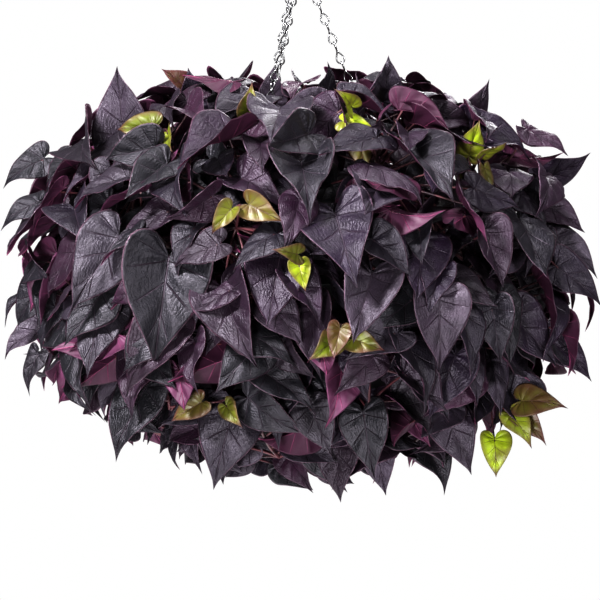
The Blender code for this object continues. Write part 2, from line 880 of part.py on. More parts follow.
def make_hook():
    points = crown_arc(CROOK_RADIUS, CROOK_CENTRE, CROOK_START, CROOK_END, 11)
    points.append(Vector((2.5 * MM, 0, SHANK_TOP + 3 * MM)))
    points.append(Vector((0, 0, SHANK_TOP - 3 * MM)))
    points += crown_arc(EYE_RADIUS, EYE_CENTRE, 90, 90 - EYE_SWEEP, 12)
    hook = new_object("hanger_hook", swept("hook", points, HOOK_WIRE, resolution=2), plant, steel)
    hook.data.shade_smooth()


def chain_ends(azimuth, eye_angle):
    """The middle of the hook's eye wire and of the clip's eye wire that a chain hangs between."""
    angle = math.radians(eye_angle)
    start = Vector((EYE_RADIUS * math.sin(angle), 0, EYE_CENTRE - EYE_RADIUS * math.cos(angle)))
    top = RIM_TOP + CLIP_SHANK + 2 * CLIP_EYE_RADIUS
    return start, polar(CHAIN_RADIUS, azimuth, top)


def link_points(length):
    """A link of two loops a quarter turn apart, joined at a narrow waist."""
    loop = [(LINK_END, 0), (LINK_HALF_WIDTH, 0.19 * length)]
    points = [Vector((across, 0, run)) for across, run in loop]
    points.append(Vector((LINK_WAIST, LINK_WAIST, length / 2)))
    points += [Vector((0, across, length - run)) for across, run in reversed(loop)]
    points += [Vector((0, -across, length - run)) for across, run in loop]
    points.append(Vector((-LINK_WAIST, -LINK_WAIST, length / 2)))
    points += [Vector((-across, 0, run)) for across, run in reversed(loop)]
    return points


def make_chain(name, azimuth, eye_angle):
    """Links in a straight run, turned little by little so that both ends sit on their wires."""
    start, end = chain_ends(azimuth, eye_angle)
    run = (end - start).normalized()
    angle = math.radians(eye_angle)
    eye_tangent = Vector((math.cos(angle), 0, math.sin(angle)))
    first_side = eye_tangent.cross(run).normalized()
    rim_tangent = polar(1, azimuth + 90, 0)
    last_side = (rim_tangent - rim_tangent.dot(run) * run).normalized()
    if first_side.dot(last_side) < 0:
        last_side = -last_side
    turn = math.atan2(run.dot(first_side.cross(last_side)), first_side.dot(last_side))
    before = HOOK_WIRE + LINK_WIRE + GAP
    after = CLIP_WIRE + LINK_WIRE + GAP
    whole = (end - start).length + before + after
    count = round((whole - LINK_SINK) / LINK_PITCH)
    pitch = (whole - LINK_SINK) / count
    length = pitch + LINK_SINK
    links = []
    for index in range(count):
        share = turn * index / (count - 1)
        side = first_side * math.cos(share) + run.cross(first_side) * math.sin(share)
        third = run.cross(side)
        origin = start + run * (index * pitch - before)
        points = [
            origin + side * point.x + third * point.y + run * point.z
            for point in link_points(length)
        ]
        links.append(swept("link", points, LINK_WIRE, cyclic=True))
    fused(name, links, steel)


def make_clip(name, azimuth):
    """A wire with its foot under the rim, its shank through the hole and an eye on top."""
    centre = polar(CHAIN_RADIUS, azimuth, RIM_TOP)
    outward = polar(1, azimuth, 0)
    tangent = polar(1, azimuth + 90, 0)
    foot = -(WALL + GAP + CLIP_WIRE)
    points = [
        centre - outward * CLIP_FOOT * 0.6 + UP * foot,
        centre - outward * 1.2 * MM + UP * foot,
        centre + UP * (foot + 1.6 * MM),
        centre + UP * CLIP_SHANK,
    ]
    eye = centre + UP * (CLIP_SHANK + CLIP_EYE_RADIUS)
    for index in range(1, 9):
        angle = math.radians(-90 + 37.5 * index)
        points.append(eye + CLIP_EYE_RADIUS * (math.cos(angle) * tangent + math.sin(angle) * UP))
    clip = new_object(name, swept("clip", points, CLIP_WIRE, resolution=1), plant, steel)
    clip.data.shade_smooth()


clear_scene()
plant = new_collection("sweet_potato_vine")
helpers = new_collection("helpers")
leaf_dark = new_material("dark_leaf", (0.030, 0.021, 0.034), 0.45)
leaf_young = new_material("young_leaf", (0.30, 0.40, 0.02), 0.45)
steel = new_material("chain_steel", (0.55, 0.55, 0.56), 0.3, 1.0)
pot_plastic = new_material("pot_plastic", (0.02, 0.02, 0.02), 0.5)
soil_mix = new_material("soil_mix", (0.03, 0.018, 0.010), 0.9)
section = triangle_profile()

vine_paths, vine_leaves, shoots = grow()
for vine_name, vine_path in vine_paths.items():
    make_vine(vine_name, vine_path, [leaf for leaf in vine_leaves if leaf.vine == vine_name])
for shoot_name, (shoot_path, shoot_leaves) in shoots.items():
    make_shoot(shoot_name, shoot_path, shoot_leaves)
make_hook()
for chain_name, (chain_azimuth, chain_angle) in CHAINS.items():
    make_chain(chain_name, chain_azimuth, chain_angle)
    make_clip(chain_name.replace("chain", "rim_clip"), chain_azimuth)
make_pot()
make_soil(vine_paths)
bpy.data.objects.remove(section, do_unlink=True)
print(len(vine_leaves), "leaves,", len(shoots), "young shoots")
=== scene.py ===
import math
import random
from functools import partialmethod

import bmesh
import bpy
from bpy.props import FloatProperty, FloatVectorProperty, IntProperty, PointerProperty
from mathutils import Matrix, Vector
from mathutils.bvhtree import BVHTree


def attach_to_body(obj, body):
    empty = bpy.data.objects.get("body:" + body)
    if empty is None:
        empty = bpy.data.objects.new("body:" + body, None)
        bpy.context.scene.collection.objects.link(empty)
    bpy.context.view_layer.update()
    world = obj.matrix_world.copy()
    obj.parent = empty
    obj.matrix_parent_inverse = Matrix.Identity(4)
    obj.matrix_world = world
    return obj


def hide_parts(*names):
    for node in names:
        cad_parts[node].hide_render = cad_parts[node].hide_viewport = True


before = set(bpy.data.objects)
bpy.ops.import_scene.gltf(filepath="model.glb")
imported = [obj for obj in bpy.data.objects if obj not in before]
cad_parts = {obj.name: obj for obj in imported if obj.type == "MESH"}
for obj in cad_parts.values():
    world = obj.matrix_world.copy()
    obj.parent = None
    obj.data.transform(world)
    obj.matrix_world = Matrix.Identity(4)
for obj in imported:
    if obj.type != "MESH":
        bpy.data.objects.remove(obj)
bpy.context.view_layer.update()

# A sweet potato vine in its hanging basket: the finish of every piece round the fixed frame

bl_info = {
    "name": "Sweet potato vine basket",
    "version": (1, 0, 0),
    "blender": (4, 5, 0),
    "location": "3D View > Sidebar > Vine",
    "description": "Builds a dark-leaved sweet potato vine in a hanging basket",
    "category": "Object",
}

MM = 0.001
GAP = 0.3 * MM
UP = Vector((0, 0, 1))

# Hook, chains and clips
HOOK_WIRE = 2.0 * MM
CROOK_RADIUS = 16 * MM
CROOK_CENTRE = -14 * MM
CROOK_STEPS = 33
CROOK_START = 205
CROOK_END = -48
SHANK_TOP = -38 * MM
SHANK_END = -50 * MM
EYE_RADIUS = 11 * MM
EYE_CENTRE = SHANK_END - EYE_RADIUS
EYE_SWEEP = 326
EYE_STEPS = 40
SHANK_BEND = 3 * MM
SHANK_LEAN = 2.5 * MM
SHANK_STEPS = 10
LINK_WIRE = 0.95 * MM
LINK_PITCH = 25 * MM
LINK_HALF_WIDTH = 4.6 * MM
# The azimuth of each chain, and where it hangs on the hook's eye, in degrees
CHAINS = {"chain_right": (0, 22.4), "chain_left_back": (120, -5), "chain_left_front": (240, -26)}
CLIP_WIRE = 1.25 * MM
CLIP_EYE_RADIUS = 5 * MM
CLIP_SHANK = 6 * MM
CLIP_FOOT = 8 * MM
CLIP_HOLE = 2.1 * MM
CLIP_EYE_SWEEP = 300
CLIP_EYE_STEPS = 24
CHAIN_ROOM = 11 * MM
CLIP_ROOM = 13 * MM
CLIP_REACH = 20 * MM

# Pot and soil
RIM_TOP = -433 * MM
WALL = 2.5 * MM
RIM_RADIUS = 150 * MM
SKIRT = 12 * MM
CHAIN_RADIUS = 142 * MM
POT_TOP_RADIUS = 134 * MM
POT_FOOT_RADIUS = 104 * MM
POT_HEIGHT = 190 * MM
DRAIN_RADIUS = 5 * MM
DRAIN_RING = 60 * MM
SOIL_TOP = -456 * MM
SOIL_DOME = 5 * MM

# Vines: the paths of the stems as (radius, height) in mm
STEM_RADIUS = 2.4 * MM
PETIOLE_RADIUS = 1.35 * MM
PETIOLE_SEAT = 0.18
STEM_STATIONS = 8
CROWN_PATHS = (
    ((30, -479.7), (30, -450), (38, -405), (62, -350), (98, -308), (140, -282)),
    ((34, -479.7), (34, -450), (34, -400), (40, -350), (50, -306), (66, -272)),
)
SHOULDER_PATHS = (
    ((76, -479.7), (76, -450), (90, -408), (130, -378), (185, -352), (232, -352), (262, -378)),
    ((72, -479.7), (72, -450), (84, -400), (118, -350), (162, -318), (205, -312), (236, -330)),
)
TRAILING_PATHS = (
    ((112, -479.7), (112, -450), (126, -414), (156, -402), (194, -408), (226, -442), (240, -495),
     (236, -548), (212, -598), (168, -632), (118, -648)),
    ((114, -479.7), (114, -450), (128, -416), (158, -406), (198, -418), (232, -452), (250, -500),
     (252, -545), (238, -585)),
)
# Each ring's name, number of stems, first azimuth in degrees and paths
RINGS = (
    ("crown_vine", 6, 30, CROWN_PATHS),
    ("shoulder_vine", 9, 20, SHOULDER_PATHS),
    ("trailing_vine", 12, 15, TRAILING_PATHS),
)
STEM_DRIFT = 9
STEM_SWELLS = (0.97, 1.03)

# Leaves: the surface that the leaf junctions sit on and the outline that scattered leaves keep to
SEAT_PROFILE = (
    (0, -226), (60, -224), (120, -228), (170, -242), (226, -276), (272, -326), (296, -385),
    (302, -440), (296, -500), (274, -550), (234, -590), (182, -618), (116, -640), (44, -648),
)
OUTLINE = (
    (90, -184), (180, -200), (232, -218), (300, -266), (346, -326), (360, -410), (358, -494),
    (336, -554), (300, -590), (246, -626), (184, -662), (110, -698), (84, -709),
)
LEAF_SEED = 11
LEAF_SEATS = 162
LEAF_LENGTHS = (72, 98)
BLADE_CLEARANCE = 1.3 * MM
NEAREST_SEAT = 20 * MM
SEAT_TRIES = 16
LONGEST_PETIOLE = 150 * MM
SHORTEST_PETIOLE = 26 * MM
STALK_SPARE = 0.5 * MM
NEAR_SPOTS = 6
LOAD_COST = 6 * MM
STEM_START_FREE = 60 * MM
STEM_END_INSET = 3 * MM
LEVEL_TOP = 0.6
UPRIGHT_SHARE = 0.3
UPRIGHT_OUT = 0.35
UPRIGHT_SWING = 0.6
HALF_OUTLINE = ((0.27, -0.22), (0.47, 0.12), (0.27, 0.62))
MIDRIB_POINT = 0.4
GOLDEN_ANGLE = math.pi * (3 - math.sqrt(5))

# How the leaves lie: a share at the plant's sides, and what its level top adds to it
ALONG_OUT = (0.5, 0.5)
ALONG_DOWN = (0.85, -0.75)
FACING_OUT = (1, -0.6)
FACING_UP = (0.4, 0.7)
# Looseness, share of the length and deepest inset (mm): the first try's, and what each more adds
LOOSENESS = (0.3, 0.03)
SHRINKING = (1, -0.015)
INSET = (12, 4)
# The widest swing to either side, and the least and the most that leaves are folded and droop
SWING = 0.75
FOLDS = (0.05, 0.4)
DROOPS = (0.0, 0.22)
# The leaves that face the front
FRONT_LEAN = 0.22
FRONT_FACING = Vector((0, -0.9, 0.25))
FRONT_SPREAD = 0.45
FRONT_FOLDS = (0.1, 0.3)
FRONT_DROOPS = (0.0, 0.12)

# Stage
PLANT_MIDDLE = -0.470
CAMERA_DISTANCE = 3.6
FLOOR_HEIGHT = -1.25
FLOOR_RADIUS = 1.0
CAMERA_ELEVATION = 3.0
WORLD_STRENGTH = 0.12
WORLD_SLOPE = 0.15
PRINT_GAMMA = 0.75
# Name, place in m, power in W and size in m
LIGHTS = (
    ("key", (-1.7, -1.7, 1.6), 260, 0.5),
    ("fill", (2.0, -1.8, 0.2), 46, 0.5),
    ("low", (-0.6, -2.6, -0.9), 82, 0.4),
    ("top", (0.3, 0.1, 1.6), 28, 0.6),
    ("rim", (0.6, 2.2, 0.9), 40, 1.0),
)

# Leaves that stand out from the front: x and z of the junction, x and z of the tip, and
# the depth of the junction where the seat surface doesn't give it
FRONT_LEAVES = {
    "broad_low_left": ((-174, -558), (-217, -635), None),
    "hanging_left_of_middle": ((-70, -600), (-102, -674), None),
    "long_low_middle": ((-60, -590), (-8, -696), None),
    "low_left_tip": ((-140, -606), (-156, -667), None),
    "low_right_tip": ((136, -615), (190, -700), None),
    "lowest_right": ((88, -632), (102, -708), None),
    "lowest_middle": ((44, -622), (42, -701), None),
    "upright_top_left": ((-206, -278), (-216, -199), -60),
    "below_upright": ((-217, -311), (-222, -372), None),
    "pale_left": ((-262, -370), (-251, -418), None),
    "left_middle": ((-204, -386), (-256, -464), None),
    "long_left_of_middle": ((-146, -409), (-161, -521), None),
    "turned_over_left": ((-286, -412), (-318, -472), -70),
    "pale_right": ((224, -458), (242, -528), None),
    "round_low_right": ((254, -584), (214, -528), -120),
    "top_spike_right": ((97, -234), (106, -184), -70),
    "top_spike_middle": ((28, -236), (36, -190), -40),
    "top_spike_left": ((-30, -234), (-32, -190), 20),
    "top_far_left": ((-120, -240), (-132, -196), -30),
    "top_far_right": ((196, -262), (226, -214), -40),
    "broad_top_middle": ((44, -246), (-4, -292), -150),
    "right_upper_edge": ((270, -266), (318, -290), -20),
    "right_high_edge": ((292, -325), (346, -300), 20),
    "right_mid_edge": ((284, -350), (334, -380), -60),
    "right_low_edge": ((298, -515), (348, -556), -20),
    "left_high_edge": ((-306, -300), (-354, -326), 0),
    "left_mid_edge": ((-310, -452), (-360, -482), -10),
    "left_low_edge": ((-306, -500), (-358, -532), 30),
    "low_right_inner": ((168, -596), (198, -656), None),
    "right_of_middle": ((208, -380), (230, -440), None),
}

# Young shoots: x and z of their ends at the front, and azimuth and z of those round the back
SHOOT_SEED = 5
FRONT_SHOOTS = (
    (-154, -266), (-66, -350), (62, -252), (204, -300), (4, -412),
    (44, -500), (-96, -572), (262, -598),
)
BACK_SHOOTS = ((40, -300), (105, -470), (150, -360))
SHOOT_STEM = 1.5 * MM
SHOOT_GAP = 0.2 * MM
SHOOT_FOOT = 7 * MM
SHOOT_PETIOLE = 1.0 * MM
SHOOT_LENGTHS = (30, 46)
SHOOT_TRIES = 60
SHOOT_LEAVES = 2
SHOOT_TURN = 165
SHOOT_SHIFT = 0.8
SHOOT_SPOTS = 8
SHOOT_ARCH = 0.08
SHOOT_SPACING = 0.3
SHOOT_REACH = (9, 13)
SHOOT_OUT = 7
SHOOT_SIDE = 0.8
SHOOT_LEANS = (0.1, 0.7)
SHOOT_HANG = 0.5
SHOOT_TILT = 0.4
SHOOT_RISE = 12 * MM
SHOOT_FOLDS = (0.2, 0.55)
SHOOT_DROOP = 0.05


def polar(radius, azimuth, height):
    """The point at this radius and height, with the azimuth in degrees."""
    angle = math.radians(azimuth)
    return Vector((radius * math.cos(angle), radius * math.sin(angle), height))


def graded(pair, amount):
    """The first value of the pair, with this much of the second added."""
    start, gain = pair
    return start + gain * amount


def any_direction(draw):
    """A vector of three random parts between -1 and 1."""
    return Vector([draw.uniform(-1, 1) for _ in range(3)])


def in_metres(pairs):
    """The same pairs of millimetres in metres."""
    return [(first * MM, second * MM) for first, second in pairs]


# Where the stems and leaves go


class Shape:
    """A small closed test mesh, with the sphere that holds it."""

    def __init__(self, points, faces):
        self.centre = sum(points, Vector()) / len(points)
        self.reach = max((point - self.centre).length for point in points)
        self.tree = BVHTree.FromPolygons(points, faces)


class Room:
    """The space that is taken, as test meshes with their owners' names."""

    def __init__(self):
        self.taken = []

    def add(self, shape, owner):
        self.taken.append((shape, owner))

    def is_free(self, shape, skip=None):
        for other, owner in self.taken:
            if owner == skip:
                continue
            if (other.centre - shape.centre).length > other.reach + shape.reach:
                continue
            if other.tree.overlap(shape.tree):
                return False
        return True


class Leaf:
    """One leaf: where its blade meets the petiole, how it lies and what carries it."""

    def __init__(self, junction, along, normal, length, fold, droop):
        self.junction = junction
        self.along = along.normalized()
        self.normal = (normal - normal.dot(self.along) * self.along).normalized()
        self.side = self.along.cross(self.normal)
        self.length = length
        self.fold = fold
        self.droop = droop
        self.petiole = []
        self.vine = ""
        self.name = ""
        self.tone = None
        self.blush = None

    def at(self, across, down, lift=0.0):
        """The point of the blade at this share of its length across and down from the junction."""
        rise = self.fold * abs(across) - self.droop * down * abs(down)
        point = self.side * across + self.along * down + self.normal * rise
        return self.junction + point * self.length + self.normal * lift

    def seat(self):
        """Where the petiole ends, inside the blade on its midrib."""
        return self.at(0.0, 0.0).lerp(self.at(0.0, MIDRIB_POINT), PETIOLE_SEAT)


def heart_outline():
    """The blade's outline from the junction round to the tip and back, as shares of its length."""
    left = [(-across, down) for across, down in reversed(HALF_OUTLINE)]
    return [(0.0, 0.0), *HALF_OUTLINE, (0.0, 1.0), *left]


def heart_faces():
    """Eight triangles that meet along the midrib: the last point is the one inside the blade."""
    return [
        (0, 1, 2), (0, 2, 8), (8, 2, 3), (8, 3, 4),
        (8, 4, 5), (8, 5, 6), (0, 8, 6), (0, 6, 7),
    ]


def blade_shape(leaf, clearance=BLADE_CLEARANCE):
    """The blade as a test plate, thicker than the real one by its clearance."""
    spots = [*heart_outline(), (0.0, MIDRIB_POINT)]
    upper = [leaf.at(across, down, clearance) for across, down in spots]
    lower = [leaf.at(across, down, -clearance) for across, down in spots]
    count = len(spots)
    faces = heart_faces()
    faces += [tuple(index + count for index in reversed(face)) for face in heart_faces()]
    rim = count - 1
    for index in range(rim):
        following = (index + 1) % rim
        faces.append((index, index + count, following + count, following))
    return Shape(upper + lower, faces)


def tube_shape(points, radius):
    """A test tube with three sides round a path."""
    rings = []
    for index, point in enumerate(points):
        before = points[max(index - 1, 0)]
        after = points[min(index + 1, len(points) - 1)]
        heading = (after - before).normalized()
        sideways = heading.orthogonal().normalized()
        third = heading.cross(sideways)
        for turn in (0, 120, 240):
            angle = math.radians(turn)
            rings.append(point + radius * (math.cos(angle) * sideways + math.sin(angle) * third))
    faces = []
    for ring in range(len(points) - 1):
        start = 3 * ring
        for corner in range(3):
            following = (corner + 1) % 3
            faces.append((start + corner, start + following, start + 3 + following, start + 3 + corner))
    return Shape(rings, faces)


def between(before, start, end, after, share):
    """The point at this share of the way from start to end, on a smooth curve through all four."""
    return 0.5 * (
        2 * start
        + (end - before) * share
        + (2 * before - 5 * start + 4 * end - after) * share ** 2
        + (3 * start - before - 3 * end + after) * share ** 3
    )


def smooth_path(points, count):
    """This many points, evenly spread along a smooth curve through the given ones."""
    fine = []
    last = len(points) - 1
    steps = 12
    for index in range(last):
        before = points[max(index - 1, 0)]
        start = points[index]
        end = points[index + 1]
        after = points[min(index + 2, last)]
        fine += [between(before, start, end, after, step / steps) for step in range(steps)]
    fine.append(points[last])
    lengths = [0.0]
    for index in range(1, len(fine)):
        lengths.append(lengths[-1] + (fine[index] - fine[index - 1]).length)
    path = []
    place = 0
    for index in range(count):
        wanted = lengths[-1] * index / (count - 1)
        while place < len(fine) - 2 and lengths[place + 1] < wanted:
            place += 1
        share = (wanted - lengths[place]) / (lengths[place + 1] - lengths[place])
        path.append(fine[place].lerp(fine[place + 1], min(max(share, 0), 1)))
    return path


def stem_paths():
    """Each vine's name and the points its stem runs through, straight out of the soil first."""
    draw = random.Random(LEAF_SEED)
    vines = {}
    for ring, count, first, paths in RINGS:
        for index in range(count):
            azimuth = first + index * 360 / count
            drift = draw.uniform(-STEM_DRIFT, STEM_DRIFT)
            route = in_metres(paths[index % len(paths)])
            points = []
            for step, (radius, height) in enumerate(route):
                turn = drift * max(step - 1, 0) / (len(route) - 1)
                swell = 1.0 if step < 2 else draw.uniform(*STEM_SWELLS)
                points.append(polar(radius * swell, azimuth + turn, height))
            above = smooth_path(points[1:], STEM_STATIONS)
            vines[f"{ring}_{index + 1}"] = [points[0], *above]
    return vines


def turned_shape(profile):
    """A closed test mesh turned round Z from a closed loop of (radius, height)."""
    steps = 24
    points = [
        polar(radius, 360 * step / steps, height)
        for step in range(steps)
        for radius, height in profile
    ]
    count = len(profile)
    faces = []
    for step in range(steps):
        here = step * count
        there = (step + 1) % steps * count
        for index in range(count):
            following = (index + 1) % count
            faces.append((here + index, here + following, there + following, there + index))
    return Shape(points, faces)


def chain_ends(azimuth, eye_angle):
    """The middle of the hook's eye wire and of the clip's eye wire that a chain hangs between."""
    angle = math.radians(eye_angle)
    start = Vector((EYE_RADIUS * math.sin(angle), 0, EYE_CENTRE - EYE_RADIUS * math.cos(angle)))
    top = RIM_TOP + CLIP_SHANK + 2 * CLIP_EYE_RADIUS
    return start, polar(CHAIN_RADIUS, azimuth, top)


def hardware_shapes(room):
    """Takes the room of the pot, the soil, the chains and the clips."""
    spare = 4 * MM
    foot = RIM_TOP - POT_HEIGHT - spare
    pot = (
        (POT_TOP_RADIUS - 2 * spare, RIM_TOP + spare),
        (RIM_RADIUS + spare, RIM_TOP + spare),
        (RIM_RADIUS + spare, RIM_TOP - SKIRT - spare),
        (POT_TOP_RADIUS + spare, RIM_TOP - SKIRT - spare),
        (POT_FOOT_RADIUS + spare, foot),
        (POT_FOOT_RADIUS / 2, foot),
        (POT_FOOT_RADIUS / 2, foot + spare),
    )
    room.add(turned_shape(pot), "pot")
    surface = (
        (POT_TOP_RADIUS, SOIL_TOP + spare),
        (POT_TOP_RADIUS, SOIL_TOP),
        (spare, SOIL_TOP),
        (spare, SOIL_TOP + SOIL_DOME + spare),
    )
    room.add(turned_shape(surface), "soil")
    for azimuth, eye_angle in CHAINS.values():
        start, end = chain_ends(azimuth, eye_angle)
        pieces = 6
        for piece in range(pieces):
            run = [start.lerp(end, piece / pieces), start.lerp(end, (piece + 1) / pieces)]
            room.add(tube_shape(run, CHAIN_ROOM), "chain")
        room.add(tube_shape([end, end - UP * CLIP_REACH], CLIP_ROOM), "clip")


def profile_point(profile, share):
    """The point, and the direction out of the surface, at this share of a turned surface's area."""
    pieces = []
    total = 0.0
    steps = 10
    for (radius_a, height_a), (radius_b, height_b) in zip(profile, profile[1:]):
        for step in range(steps):
            middle = (step + 0.5) / steps
            radius = radius_a + (radius_b - radius_a) * middle
            height = height_a + (height_b - height_a) * middle
            run = math.hypot(radius_b - radius_a, height_b - height_a) / steps
            total += run * radius
            out = Vector((height_a - height_b, radius_b - radius_a)).normalized()
            pieces.append((total, radius, height, out))
    wanted = share * total
    for reached, radius, height, out in pieces:
        if reached >= wanted:
            return radius, height, out
    return pieces[-1][1:]


def radius_at(rows, height, otherwise):
    """The radius at this height on a profile of (radius, height), listed from the top down."""
    for (radius_a, height_a), (radius_b, height_b) in zip(rows, rows[1:]):
        if height_b <= height <= height_a:
            return radius_a + (radius_b - radius_a) * (height_a - height) / (height_a - height_b)
    return otherwise


def within_outline(leaf):
    rows = in_metres(OUTLINE)
    spots = [leaf.at(across, down) for across, down in heart_outline()]
    return all(math.hypot(spot.x, spot.y) <= radius_at(rows, spot.z, 0.0) for spot in spots)


def petiole_path(start, leaf):
    """Straight from the stem to the blade's midrib, a little past its notch."""
    return [start, leaf.seat()]


def stem_spots(vines):
    """Each spot along the stems where a leaf may grow, the vine's name and the stem's direction."""
    spots = []
    for name, path in vines.items():
        travelled = 0.0
        for before, after in zip(path, path[1:]):
            run = (after - before).length
            heading = (after - before).normalized()
            if travelled > STEM_START_FREE:
                spots += [(before.lerp(after, share), name, heading) for share in (0.25, 0.75)]
            travelled += run
        spots.append((path[-1] - heading * STEM_END_INSET, name, heading))
    return spots


def attach(leaf, spots, room, radius, load):
    """Gives the leaf a petiole from a near stem that has room for it. False if none has."""
    reachable = []
    for spot, name, _ in spots:
        gap = (spot - leaf.junction).length
        if SHORTEST_PETIOLE < gap < LONGEST_PETIOLE:
            reachable.append((gap + LOAD_COST * load[name], name, spot))
    reachable.sort(key=lambda row: row[0])
    for _, name, spot in reachable[:NEAR_SPOTS]:
        path = petiole_path(spot, leaf)
        shape = tube_shape(path, radius + MM)
        if room.is_free(shape, skip=name):
            leaf.petiole = path
            leaf.vine = name
            return True
    return False


def settle(leaf, spots, room, load):
    """Takes the leaf's room if its blade and its petiole both fit."""
    blade = blade_shape(leaf)
    if not room.is_free(blade):
        return False
    if not attach(leaf, spots, room, PETIOLE_RADIUS, load):
        return False
    load[leaf.vine] += 1
    room.add(blade, "blade")
    room.add(tube_shape(leaf.petiole, PETIOLE_RADIUS + STALK_SPARE), leaf.vine + "_petiole")
    return True


def seat_depth(across, height):
    """The depth of the seat surface at the front, at this x and z."""
    rows = in_metres(SEAT_PROFILE)
    radius = radius_at(rows[2:], height, rows[-1][0])
    return -math.sqrt(max(radius ** 2 - across ** 2, NEAREST_SEAT ** 2))


def front_leaves():
    """The leaves that stand out from the front, most of them facing it."""
    draw = random.Random(LEAF_SEED + 1)
    leaves = []
    for name, ((x, z), (tip_x, tip_z), depth) in FRONT_LEAVES.items():
        place = seat_depth(x * MM, z * MM) if depth is None else depth * MM
        junction = Vector((x * MM, place, z * MM))
        run = Vector(((tip_x - x) * MM, 0, (tip_z - z) * MM))
        run.y = -FRONT_LEAN * run.length
        outward = Vector((junction.x, junction.y, 0)).normalized()
        normal = FRONT_FACING + outward * FRONT_SPREAD
        fold = draw.uniform(*FRONT_FOLDS)
        leaves.append(Leaf(junction, run, normal, run.length, fold, draw.uniform(*FRONT_DROOPS)))
        leaves[-1].name = name
    return leaves


def random_leaf(seat, out, draw, attempt):
    """A leaf at this seat: shingled down the sides, level on top, some upright."""
    outward = Vector((seat.x, seat.y, 0))
    if outward.length < 5 * MM:
        outward = polar(1, draw.uniform(0, 360), 0)
    outward.normalize()
    round_axis = UP.cross(outward)
    top = max(out.y, 0.0)
    wobble = any_direction(draw) * graded(LOOSENESS, attempt)
    swing = draw.uniform(-SWING, SWING)
    if top > LEVEL_TOP and draw.random() < UPRIGHT_SHARE:
        along = UP + outward * UPRIGHT_OUT + round_axis * swing * UPRIGHT_SWING
        normal = outward * draw.choice((-1, 1)) + wobble
    else:
        along = outward * graded(ALONG_OUT, top) - UP * graded(ALONG_DOWN, top) + round_axis * swing
        normal = outward * graded(FACING_OUT, top) + UP * graded(FACING_UP, top) + wobble
    length = draw.uniform(*LEAF_LENGTHS) * MM * graded(SHRINKING, attempt)
    inward = Vector((out.x * outward.x, out.x * outward.y, out.y)) * -1
    depth = draw.uniform(0, graded(INSET, attempt)) * MM
    fold = draw.uniform(*FOLDS)
    return Leaf(seat + inward * depth, along, normal, length, fold, draw.uniform(*DROOPS))


def seated_leaves(spots, room, load):
    """The leaves that cover the whole plant evenly, where there is room for them."""
    draw = random.Random(LEAF_SEED + 2)
    profile = in_metres(SEAT_PROFILE)
    leaves = []
    for index in range(LEAF_SEATS):
        radius, height, out = profile_point(profile, (index + 0.5) / LEAF_SEATS)
        azimuth = math.degrees(index * GOLDEN_ANGLE)
        seat = polar(radius, azimuth, height)
        for attempt in range(SEAT_TRIES):
            leaf = random_leaf(seat, out, draw, attempt)
            if within_outline(leaf) and settle(leaf, spots, room, load):
                leaves.append(leaf)
                break
    return leaves


def shoot_targets():
    """Where the young shoots end: the front ones as listed, the back ones spread round."""
    targets = []
    for x, z in FRONT_SHOOTS:
        targets.append(Vector((x * MM, seat_depth(x * MM, z * MM) - SHOOT_RISE, z * MM)))
    for azimuth, z in BACK_SHOOTS:
        radius = -seat_depth(0, z * MM) + SHOOT_RISE
        targets.append(polar(radius, azimuth, z * MM))
    return targets


def shoot_from(spot, stem_heading, target, draw):
    """A shoot that leaves a stem squarely from its side, with its small leaves."""
    away = target - spot
    squarely = (away - away.dot(stem_heading) * stem_heading).normalized()
    start = spot + squarely * (STEM_RADIUS + SHOOT_GAP)
    path = [start, start + squarely * SHOOT_FOOT]
    path.append(path[1].lerp(target, 0.5) + UP * SHOOT_ARCH * away.length)
    path.append(target)
    outward = Vector((target.x, target.y, 0)).normalized()
    leaves = []
    for index in range(SHOOT_LEAVES):
        foot = path[-1] if index == 0 else path[-1].lerp(path[-2], SHOOT_SPACING * index)
        turn = draw.uniform(0, 360) if index == 0 else turn + SHOOT_TURN
        round_axis = UP.cross(outward)
        angle = math.radians(turn)
        sideways = round_axis * math.cos(angle) + UP * math.sin(angle)
        junction = foot + sideways * draw.uniform(*SHOOT_REACH) * MM + outward * SHOOT_OUT * MM
        along = sideways * SHOOT_SIDE + outward * draw.uniform(*SHOOT_LEANS) - UP * SHOOT_HANG
        normal = outward + UP * SHOOT_TILT - sideways * SHOOT_TILT
        length = draw.uniform(*SHOOT_LENGTHS) * MM
        leaf = Leaf(junction, along, normal, length, draw.uniform(*SHOOT_FOLDS), SHOOT_DROOP)
        leaf.petiole = petiole_path(foot, leaf)
        leaves.append(leaf)
    return path, leaves


def young_shoots(spots, room):
    """The name, path and leaves of each young shoot that finds room."""
    draw = random.Random(SHOOT_SEED)
    shoots = {}
    for target in shoot_targets():
        reachable = sorted(spots, key=lambda row: (row[0] - target).length)[:SHOOT_SPOTS]
        for attempt in range(SHOOT_TRIES):
            spot, vine, heading = reachable[attempt % len(reachable)]
            shift = any_direction(draw) * attempt * SHOOT_SHIFT * MM
            path, leaves = shoot_from(spot, heading, target + shift, draw)
            blades = [blade_shape(leaf) for leaf in leaves]
            stalks = [tube_shape(leaf.petiole[:1] + [leaf.junction], SHOOT_PETIOLE + MM) for leaf in leaves]
            clear = room.is_free(tube_shape(path, SHOOT_STEM + MM), skip=vine)
            clear = clear and all(room.is_free(shape) for shape in blades + stalks)
            alone = Room()
            for blade in blades:
                clear = clear and alone.is_free(blade)
                alone.add(blade, "blade")
            if not clear:
                continue
            for shape in blades + stalks + [tube_shape(path, SHOOT_STEM + STALK_SPARE)]:
                room.add(shape, "shoot")
            shoots[f"young_shoot_{len(shoots) + 1}"] = (path, leaves)
            break
    return shoots


